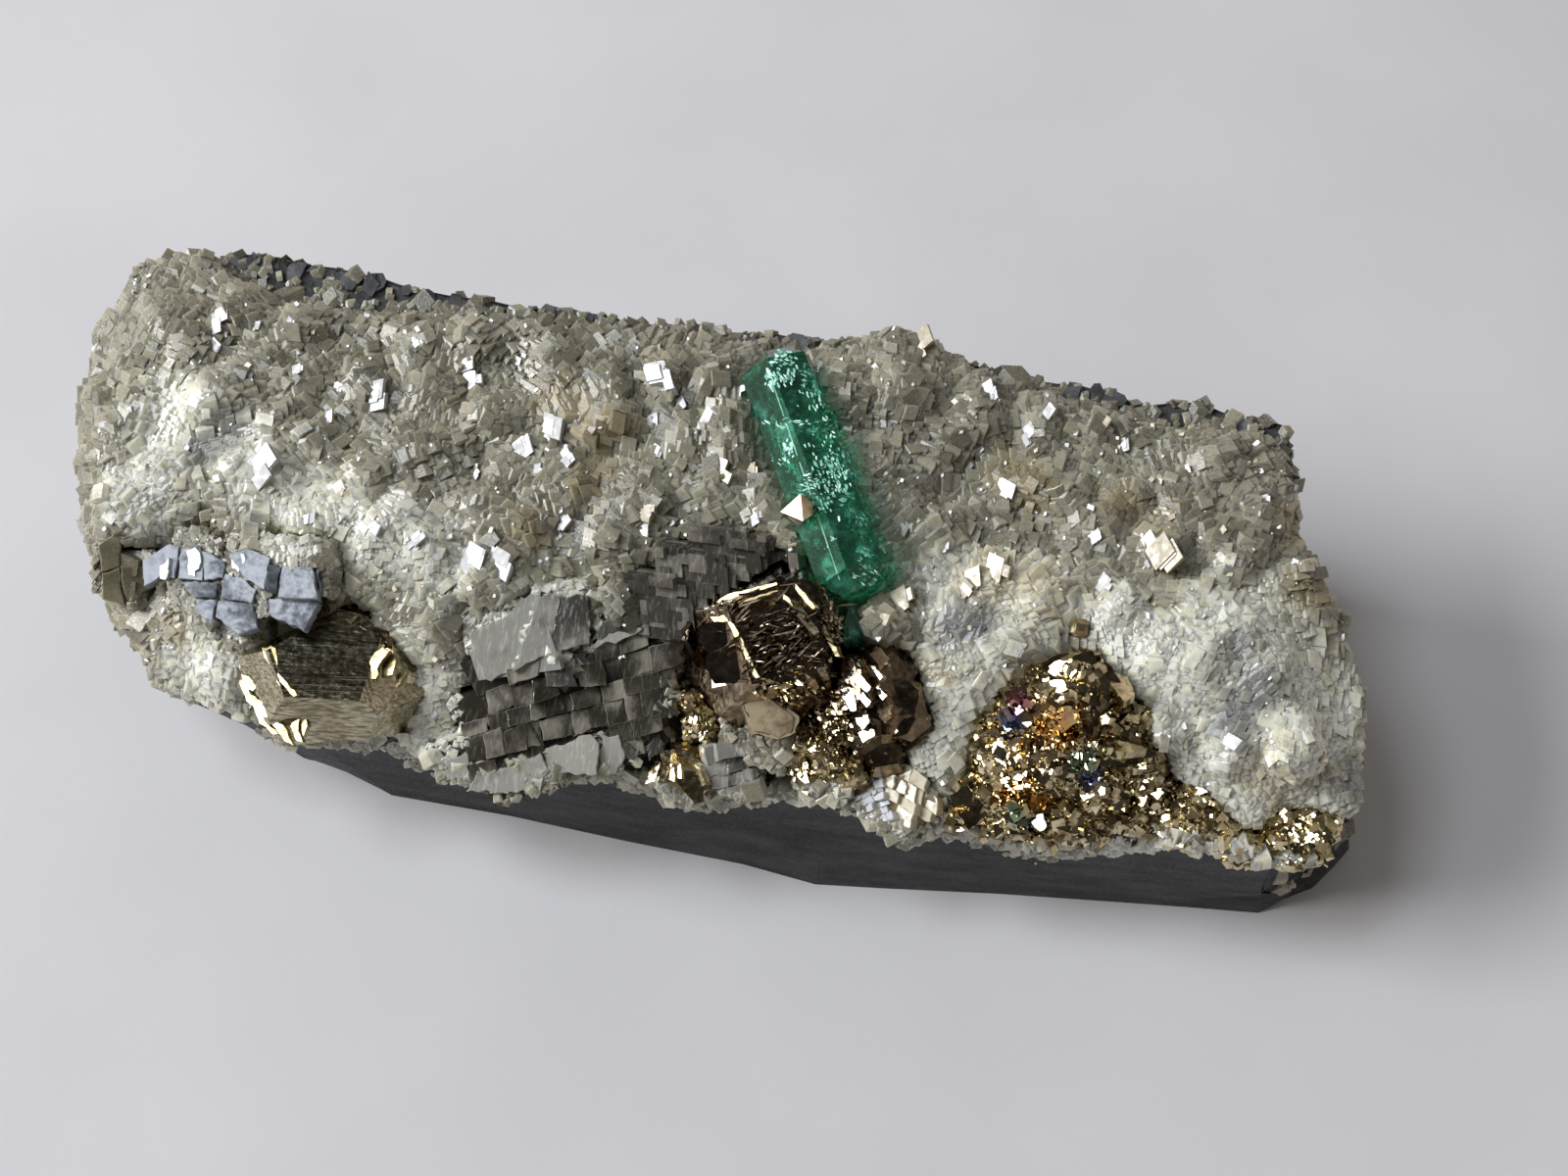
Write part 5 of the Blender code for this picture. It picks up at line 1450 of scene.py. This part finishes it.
def emerald_detail():
    """The pale ridge of the emerald and the etched patches on its skin; the patches turned to the window are pale
    aqua, partly painted reflection.
    """
    rng = np.random.default_rng(21)
    tree = tree_of(["emerald_crystal"])
    skin = Crystals()
    crowd(skin, ETCHED, tree, rng, 0.03)
    start, end = (seen_at(*pixel, tree)[0] for pixel in RIDGE_ENDS)
    along = (end - start).normalized()
    pieces = 30
    for k in range(pieces):
        if rng.random() < 0.2:
            continue
        point, normal = seen_at(*(np.array(RIDGE_ENDS[0]) * (1 - k / pieces) + np.array(RIDGE_ENDS[1]) * k / pieces), tree)
        if point is None:
            continue
        axes = np.array(square_axes(along, normal))
        reaches = np.array(((end - start).length / pieces * 0.5, 0.03 * MM, rng.uniform(0.02, 0.05) * MM))
        skin.add_block(axes, reaches, point, 1.0)
    finish_piece(skin.piece("emerald_etching", FLAKE), "emerald")


# ---------------------------------------------------------------- pyrite


def pyrite_grains(name, node, material, slot, count, reach, seed, share=0.55):
    """Small pyrite crystals grown over a pyrite node."""
    rng = np.random.default_rng(seed)
    points, normals = sample(NODES[node], count, rng, lambda n: n[:, 2] > -0.4)
    spacing = Spacing(2.0 * MM, share)
    grains = Crystals()
    sizes = np.sort(np.exp(rng.uniform(math.log(reach[0]), math.log(reach[1]), count)))[::-1] * MM
    for point, normal, size in zip(points, normals, sizes):
        if not spacing.free(Vector(point), size):
            continue
        form = (PYRITOHEDRON, PYRITOHEDRON, CUBE, OCTAHEDRON)[int(rng.integers(4))]
        turn = spun(normal, math.pi, rng)
        grains.add_form(form, turn, size, point - normal * size * rng.uniform(0.2, 0.7), float(rng.random()))
    return finish_piece(grains.piece(name, material), slot)


def bright_octahedron():
    """The small octahedron on the emerald, with one face turned to catch the window."""
    low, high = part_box("pyrite_octahedron")
    centre = (Vector(low) + Vector(high)) / 2
    facing = facing_normal(centre, "window", None)
    corner = Vector((1.0, 1.0, 1.0))
    turn = square_axes(facing, CAMERA_UP) @ square_axes(corner, (1.0, 1.0, -2.0)).transposed()
    turn = turn @ Matrix.Rotation(math.radians(OCTAHEDRON_SPIN), 3, corner)
    group = Crystals()
    group.add_form(OCTAHEDRON, turn, OCTAHEDRON_SIZE, centre, 0.5)
    finish_piece(group.piece("bright_octahedron", BRONZE), "bronze_pyrite", "pyrite_octahedron")


def ruled(bm, toward, along, spacing, depth, rng, waves=0.25 * MM):
    """Cuts fine grooves that run along a direction into the faces that look toward another."""
    toward = Vector(toward).normalized()
    across = toward.cross(Vector(along)).normalized()
    along = across.cross(toward)

    def facing():
        bm.normal_update()
        return [face for face in bm.faces if face.normal.dot(toward) > 0.97]

    def cut(direction, gaps):
        reaches = [vert.co.dot(direction) for face in facing() for vert in face.verts]
        position = min(reaches) + gaps()
        lines = []
        while position < max(reaches):
            faces = facing()
            edges = {edge for face in faces for edge in face.edges}
            verts = {vert for face in faces for vert in face.verts}
            bmesh.ops.bisect_plane(
                bm,
                geom=[*faces, *edges, *verts],
                plane_co=direction * position,
                plane_no=direction,
                dist=0.5e-6,
            )
            lines.append(position)
            position += gaps()
        return lines

    lines = cut(across, lambda: spacing * rng.uniform(0.55, 1.5))
    cut(along, lambda: spacing * 5 * rng.uniform(0.7, 1.3))
    depths = {k: depth * rng.uniform(0.1, 1.0) ** 2 * (k % 2) for k in range(len(lines))}
    moves = []
    for vert in {vert for face in facing() for vert in face.verts}:
        position = vert.co.dot(across)
        k = min(range(len(lines)), key=lambda i: abs(lines[i] - position))
        if abs(lines[k] - position) > 0.02 * MM:
            continue
        sway = noise.noise(Vector((vert.co.dot(along) / (2.5 * MM), k * 0.12, 0.0)))
        moves.append((vert, across * sway * waves * 0.6 - toward * depths[k]))
    for vert, move in moves:
        vert.co += move


def from_bmesh(name, bm, material, slot, *replaced):
    mesh = bpy.data.meshes.new(name)
    bmesh.ops.triangulate(bm, faces=[face for face in bm.faces if len(face.verts) > 4])
    bm.to_mesh(mesh)
    bm.free()
    mesh.materials.append(material)
    obj = bpy.data.objects.new(name, mesh)
    bpy.context.scene.collection.objects.link(obj)
    return finish_piece(obj, slot, *replaced)


def striated_crystal():
    """The large pyrite crystal on the left: planes through places in the photograph, and its top ruled."""
    rng = np.random.default_rng(31)
    tree = tree_of(["striated_pyrite"])
    low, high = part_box("striated_pyrite")
    point, _ = seen_at(335, 672, tree)
    planes = []
    found = {}
    for name, normal, x, y, on in STRIATED_PLANES:
        normal = Vector(normal).normalized()
        if on:
            base, facing = found[on]
            ray = photo_ray(x, y)
            point = CAMERA_AT + ray * ((base - CAMERA_AT).dot(facing) / ray.dot(facing))
        found[name] = (point, normal)
        planes.append((point, normal))
    planes.append((Vector((0.0, 0.0, low.z)), Vector((0.0, 0.0, -1.0))))
    bm = bmesh.new()
    bmesh.ops.create_cube(bm, size=40 * MM, matrix=Matrix.Translation(planes[0][0]))
    for point, normal in planes:
        geometry = bm.verts[:] + bm.edges[:] + bm.faces[:]
        cut = bmesh.ops.bisect_plane(
            bm, geom=geometry, plane_co=point, plane_no=normal, clear_outer=True, dist=1e-7
        )
        rim = [item for item in cut["geom_cut"] if isinstance(item, bmesh.types.BMEdge)]
        bmesh.ops.edgeloop_fill(bm, edges=rim)
    bmesh.ops.recalc_face_normals(bm, faces=bm.faces)
    top, front, left = (Vector(STRIATED_PLANES[k][1]) for k in range(3))
    ruled(bm, top, (0.99, 0.16, 0.0), 0.11 * MM, 0.035 * MM, rng, 0.1 * MM)
    ruled(bm, front, (0.93, 0.30, 0.2), 0.25 * MM, 0.010 * MM, rng)
    ruled(bm, left, (0.55, -0.75, 0.1), 0.35 * MM, 0.014 * MM, rng)
    crystal = from_bmesh("striated_pyrite_crystal", bm, STRIATED, "pyrite", "striated_pyrite")
    own_tree = BVHTree.FromObject(crystal, bpy.context.evaluated_depsgraph_get())
    traced("striated_edges", "pyrite", GILT, own_tree, STRIATED_GOLD, 61, 0.4)
    # The rim plates mirror darker directions and take the darker bronze pyrite: painted shade besides the reflection.
    traced("striated_rim", "pyrite", BRONZE, own_tree, STRIATED_RIM, 62, 0.4)


# ---------------------------------------------------------------- shale


def rough_shale():
    """The slab, with broken ledges on its sides and back and a smooth sawn front and foot."""
    bm = bmesh.new()
    bm.from_mesh(NODES["shale_matrix"].data)
    for _ in range(4):
        longest = [edge for edge in bm.edges if edge.calc_length() > SHALE_EDGE]
        if not longest:
            break
        bmesh.ops.subdivide_edges(bm, edges=longest, cuts=1)
        bmesh.ops.triangulate(bm, faces=[face for face in bm.faces if len(face.verts) > 3])
    bm.normal_update()
    moves = []
    for vert in bm.verts:
        point = vert.co / MM
        if point.z < 0.05:
            continue
        sawn = vert.normal.y < -0.9 and point.y < -12.0
        depth = 0.03 if sawn else 0.45
        ledges = noise.noise(Vector((point.x * 0.25, point.y * 0.25, point.z * 1.6)))
        chips = noise.noise(point * 0.9)
        moves.append((vert, vert.normal * depth * (0.7 * ledges + 0.5 * chips - 0.2) * MM))
    for vert, move in moves:
        vert.co += move
    from_bmesh("broken_shale", bm, SHALE, "shale", "shale_matrix")


def shale_flakes():
    """Thin broken flakes along the slab's back and ends, in its bedding, in a lighter blue-grey shale that paints
    their sheen.
    """
    rng = np.random.default_rng(81)
    points, normals = sample(NODES["shale_matrix"], SHALE_FLAKES * 3, rng, lambda n: n[:, 2] > -0.6)
    group = Crystals()
    for point, normal in zip(points, normals):
        broken = normal[1] > 0.25 or abs(normal[0]) > 0.75
        if not broken or point[2] < 1.5 * MM:
            continue
        turn = np.array(square_axes(BEDDING + Vector(rng.normal(0.0, 0.15, 3)), rng.normal(0.0, 1.0, 3)))
        sides = int(rng.integers(4, 8))
        length, width = rng.uniform(0.2, 1.0, 2) * MM
        thick = rng.uniform(0.04, 0.2) * MM
        ring = []
        for k in range(sides):
            angle = 2 * math.pi * (k + rng.uniform(-0.3, 0.3)) / sides
            ring.append((math.cos(angle) * length, math.sin(angle) * width))
        corners = np.array([(side * thick, *spot) for side in (1, -1) for spot in ring])
        faces = [list(range(sides)), list(range(2 * sides - 1, sides - 1, -1))]
        faces += [[k, sides + k, sides + (k + 1) % sides, (k + 1) % sides] for k in range(sides)]
        centre = point - normal * length * rng.uniform(0.2, 0.8)
        group.add(corners @ turn.T + centre, faces, float(rng.random()))
    finish_piece(group.piece("shale_flakes", SHEEN_SHALE), "shale")


def back_growth(body_tree):
    """Small crystals that spill from the druse over the shale's back rim."""
    rng = np.random.default_rng(86)
    points, normals = sample(NODES["shale_matrix"], BACK_CRYSTALS, rng, lambda n: n[:, 2] > -0.3)
    spacing = Spacing(1.2 * MM, 0.6)
    group = Crystals()
    for point, normal in zip(points, normals):
        if point[1] < 2.0 * MM and abs(point[0]) < 40.0 * MM:
            continue
        distance = body_tree.find_nearest(Vector(point))[3]
        reach = math.exp(rng.normal(math.log(0.24), 0.4)) * MM
        if distance > (0.5 + rng.exponential(1.2)) * MM or not spacing.free(Vector(point), reach):
            continue
        axes = lattice(spun(normal, math.radians(50), rng))
        tone = float(np.clip(rng.normal(0.3, 0.2), 0.0, 1.0))
        group.add_block(axes, reach * rng.uniform(0.7, 1.35, 3), point, tone, tuple(normal))
    finish_piece(group.piece("back_crystals", GREIGE, SOFTENING), "calcite")


# ---------------------------------------------------------------- studio


def area_light(name, toward, distance, size, power, colour):
    data = bpy.data.lights.new(name, "AREA")
    data.shape = "RECTANGLE"
    data.size, data.size_y = size
    data.energy = power
    data.color = colour
    lamp = bpy.data.objects.new(name, data)
    bpy.context.scene.collection.objects.link(lamp)
    lamp.location = toward * distance
    lamp.rotation_mode = "QUATERNION"
    lamp.rotation_quaternion = (-toward).to_track_quat("-Z", "Y")
    return lamp


def room_light():
    world = bpy.data.worlds.new("room")
    world.use_nodes = True
    bpy.context.scene.world = world
    tree = world.node_tree
    direction = tree.nodes.new("ShaderNodeTexCoord").outputs["Generated"]
    height = tree.nodes.new("ShaderNodeSeparateXYZ")
    tree.links.new(direction, height.inputs[0])
    ramp = tree.nodes.new("ShaderNodeMapRange")
    ramp.interpolation_type = "SMOOTHSTEP"
    ramp.inputs["From Min"].default_value = 0.15
    ramp.inputs["From Max"].default_value = 0.95
    tree.links.new(height.outputs["Z"], ramp.inputs["Value"])
    mix = tree.nodes.new("ShaderNodeMix")
    mix.data_type = "RGBA"
    mix.inputs[6].default_value = (*ROOM_LOW, 1.0)
    mix.inputs[7].default_value = (*ROOM_HIGH, 1.0)
    tree.links.new(ramp.outputs[0], mix.inputs[0])
    side = tree.nodes.new("ShaderNodeMapRange")
    for socket, value in zip(list(side.inputs)[1:5], (-0.8, 0.2, ROOM_FRONT, ROOM_BACK)):
        socket.default_value = value
    tree.links.new(height.outputs["Y"], side.inputs["Value"])
    tree.links.new(side.outputs[0], tree.nodes["Background"].inputs["Strength"])
    tree.links.new(mix.outputs[2], tree.nodes["Background"].inputs["Color"])


def studio():
    half = 2.0
    corners = [(-half, -half, 0), (half, -half, 0), (half, half, 0), (-half, half, 0)]
    floor = mesh_piece("floor", corners, [(0, 1, 2, 3)], PAPER)
    area_light("window", WINDOW_TOWARD, WINDOW_DISTANCE, WINDOW_SIZE, WINDOW_POWER, (0.99, 0.99, 1.0))
    area_light("sky", SKY_TOWARD, SKY_DISTANCE, SKY_SIZE, SKY_POWER, (0.86, 0.92, 1.0))
    room_light()
    data = bpy.data.cameras.new("camera")
    data.lens = LENS
    data.sensor_width = SENSOR
    data.clip_start = 0.01
    camera = bpy.data.objects.new("camera", data)
    bpy.context.scene.collection.objects.link(camera)
    camera.location = CAMERA_AT
    camera.rotation_mode = "QUATERNION"
    camera.rotation_quaternion = (-TO_CAMERA).to_track_quat("-Z", "Y")
    bpy.context.scene.camera = camera
    bpy.context.scene.view_settings.view_transform = "Standard"


# ---------------------------------------------------------------- building

FINISHES = {
    "shale_matrix": SHALE,
    "emerald_crystal": EMERALD,
    "small_emerald": EMERALD,
    "pyrite_octahedron": BRONZE,
    "striated_pyrite": GOLD,
    "stepped_pyrite": BRONZE,
    "faceted_pyrite": BRONZE,
    "golden_pyrite": GOLD,
    "front_pyrite": GOLD,
    "pyrite_nugget": GOLD,
    "tarnished_pyrite": GOLD,
    "trailing_pyrite": GOLD,
    "end_pyrite": GOLD,
    "pyrite_bead": GOLD,
    "mosaic_calcite": OLIVE,
    "corner_calcite": OLIVE,
    "blocky_calcite": BLOCKY,
    "pale_calcite": PALE,
    "smoky_calcite": SMOKY,
    "clear_calcite": CLEAR,
    "swirled_calcite": CREAM,
    "bright_calcite": CREAM,
}


def build():
    for name, material in FINISHES.items():
        NODES[name].data.materials.clear()
        NODES[name].data.materials.append(material)
    body = crust()
    body_tree = BVHTree.FromPolygons(
        [vert.co.copy() for vert in body.data.vertices],
        [tuple(face.vertices) for face in body.data.polygons],
    )
    taken = flash_crystals("flash_crystals", FLASHES, body_tree, FLASH)
    taken += flash_crystals("warm_flash_crystals", WARM_FLASHES, body_tree, WARM_FLASH)
    glints(druse_crystals(body, taken))
    rim_crystals()
    emerald_detail()
    rough_shale()
    shale_flakes()
    back_growth(body_tree)
    bright_octahedron()
    striated_crystal()
    swirl()
    golds = ["tarnished_pyrite", "trailing_pyrite", "end_pyrite", "golden_pyrite", "pyrite_nugget"]
    stepped = ["stepped_pyrite", "faceted_pyrite", "golden_pyrite"]
    traced("stepped_arcs", "bronze_pyrite", GILT, stepped, STEPPED_ARCS, 63, rough=0.4)
    # The stepped faces that show dark take the darker copy of pyrite: painted shade besides a dark reflection.
    traced("stepped_faces", "bronze_pyrite", SHADED_PYRITE, stepped, STEPPED_DARK, 64)
    # Faceted faces that mirror the window take the whiter copy of pyrite: painted highlight.
    traced("faceted_lit_faces", "bronze_pyrite", HIGHLIGHT_PYRITE, stepped, FACETED_LIT, 65, lift=0.3)
    # Faceted faces that show dark take the darker bronze pyrite: painted shade.
    traced("faceted_dark_faces", "bronze_pyrite", BRONZE, stepped, FACETED_DARK, 66)
    traced("front_pyrite_faces", "pyrite", GOLD, ["front_pyrite"], FRONT_FACES, 67)
    traced("tarnished_faces", "tarnished_pyrite", TARNISHED, golds, TARNISHED_FACES, 68)
    # Mosaic blocks, corner plates and mosaic flashes take their tone from how light each face shows: painted light
    # and shade.
    traced("mosaic_blocks", "grey_calcite", MOSAIC, ["mosaic_calcite"], MOSAIC_BLOCKS, 69, 0.9, bevel=0.045, lift=0.5)
    traced("corner_faces", "grey_calcite", OLIVE, ["corner_calcite"], CORNER_PLATES, 79, 1.6, bevel=0.1, lift=0.3)
    traced("mosaic_flashes", "pale_calcite", FLASH, ["mosaic_calcite"], MOSAIC_FLASHES, 86, 0.6, 1.2, lift=0.62)
    # The mosaic cracks are pale flash calcite turned to the window: a real reflection with a painted highlight in
    # their colour.
    crowded("mosaic_cracks", "pale_calcite", FLASH, ["mosaic_calcite", "calcite_druse"], MOSAIC_CRACKS, 78)
    mosaic = [pixels for _, _, pixels in MOSAIC_BLOCKS]
    overgrowth(
        "mosaic_overgrowth", GREIGE, "calcite", ["mosaic_calcite", "corner_calcite"],
        [*mosaic, CORNER_FACE], 3600, 0.17, 82,
    )
    blocky = ["blocky_calcite", "pale_calcite", "smoky_calcite"]
    # The blocky sheets take their tone from how light each face shows: painted light and shade.
    traced("blocky_sheets", "smoky_calcite", SHEET, blocky, BLOCKY_PLATES, 70, rough=1.3, bevel=0.06, lift=0.3)
    brickwork(
        "blocky_bricks", "smoky_calcite", BLOCKY, blocky, BRICK_FIELD, BRICK_ROWS, BRICK_COLUMNS,
        BRICK_WIDTHS, BRICK_HEIGHTS, 75, (0.25, 0.75), "surface",
    )
    sheets = [pixels for _, _, pixels in BLOCKY_PLATES]
    overgrowth(
        "blocky_overgrowth", RIM, "pale_calcite", ["blocky_calcite", "pale_calcite"],
        [*sheets, BRICK_FIELD, BARE_GAP], 2600, 0.2, 83, 28,
    )
    clear = ["clear_calcite", "swirled_calcite"]
    brickwork(
        "clear_bricks", "pale_calcite", SHEET, clear, CLEAR_FIELD, -12.0, 78.0, (9, 20), (9, 18), 71,
        (0.5, 1.0), "surface",
    )
    overgrowth("clear_overgrowth", RIM, "pale_calcite", clear, [CLEAR_FIELD, SWIRL_EDGE], 1200, 0.2, 84)
    # Bright and sparkly bricks are flash calcite turned to the window: a real reflection with a painted highlight in
    # their colour.
    brickwork(
        "bright_bricks", "pale_calcite", WARM_FLASH, ["bright_calcite", "calcite_druse"], BRIGHT_FIELD,
        30.0, 100.0, (8, 22), (6, 17), 76, (0.4, 1.0), "window", 0.12, 0.10,
    )
    brickwork(
        "sparkly_bricks", "pale_calcite", FLASH, ["bright_calcite", "calcite_druse"], SPARKLY_FIELD,
        -20.0, 70.0, (4, 12), (4, 10), 77, (0.0, 0.8), "window", 0.2, 0.2,
    )
    overgrowth(
        "bright_overgrowth", RIM, "pale_calcite", ["bright_calcite"], [BRIGHT_FIELD, SPARKLY_FIELD],
        900, 0.2, 85,
    )
    overgrowth("end_overgrowth", GREIGE, "calcite", ["shale_matrix"], [END_BARE], 5200, 0.34, 87, 30)
    crowded("pyrite_glitter", "pyrite", TARNISHED, golds + stepped, PYRITE_GLITTER, 73)
    # The stepped ridges take the darker copy of pyrite: painted shade.
    crowded("stepped_ridges", "bronze_pyrite", SHADED_PYRITE, stepped, RIDGES, 74)
    cleavage_steps("smoky_plates", "smoky_calcite", SMOKY, "smoky_calcite", 120, (0.3, 1.0), (0.05, 0.2), 3)
    pyrite_grains("tarnished_grains", "tarnished_pyrite", TARNISHED, "tarnished_pyrite", 3200, (0.12, 0.5), 6)
    pyrite_grains("golden_grains", "golden_pyrite", GOLD, "pyrite", 500, (0.12, 0.35), 7)
    pyrite_grains("faceted_grains", "faceted_pyrite", BRONZE, "bronze_pyrite", 60, (0.1, 0.25), 8)
    pyrite_grains("trailing_grains", "trailing_pyrite", GOLD, "pyrite", 600, (0.15, 0.5), 9)
    pyrite_grains("end_grains", "end_pyrite", GOLD, "pyrite", 400, (0.15, 0.45), 10)
    pyrite_grains("nugget_grains", "pyrite_nugget", GOLD, "pyrite", 80, (0.12, 0.3), 11)
    studio()


build()
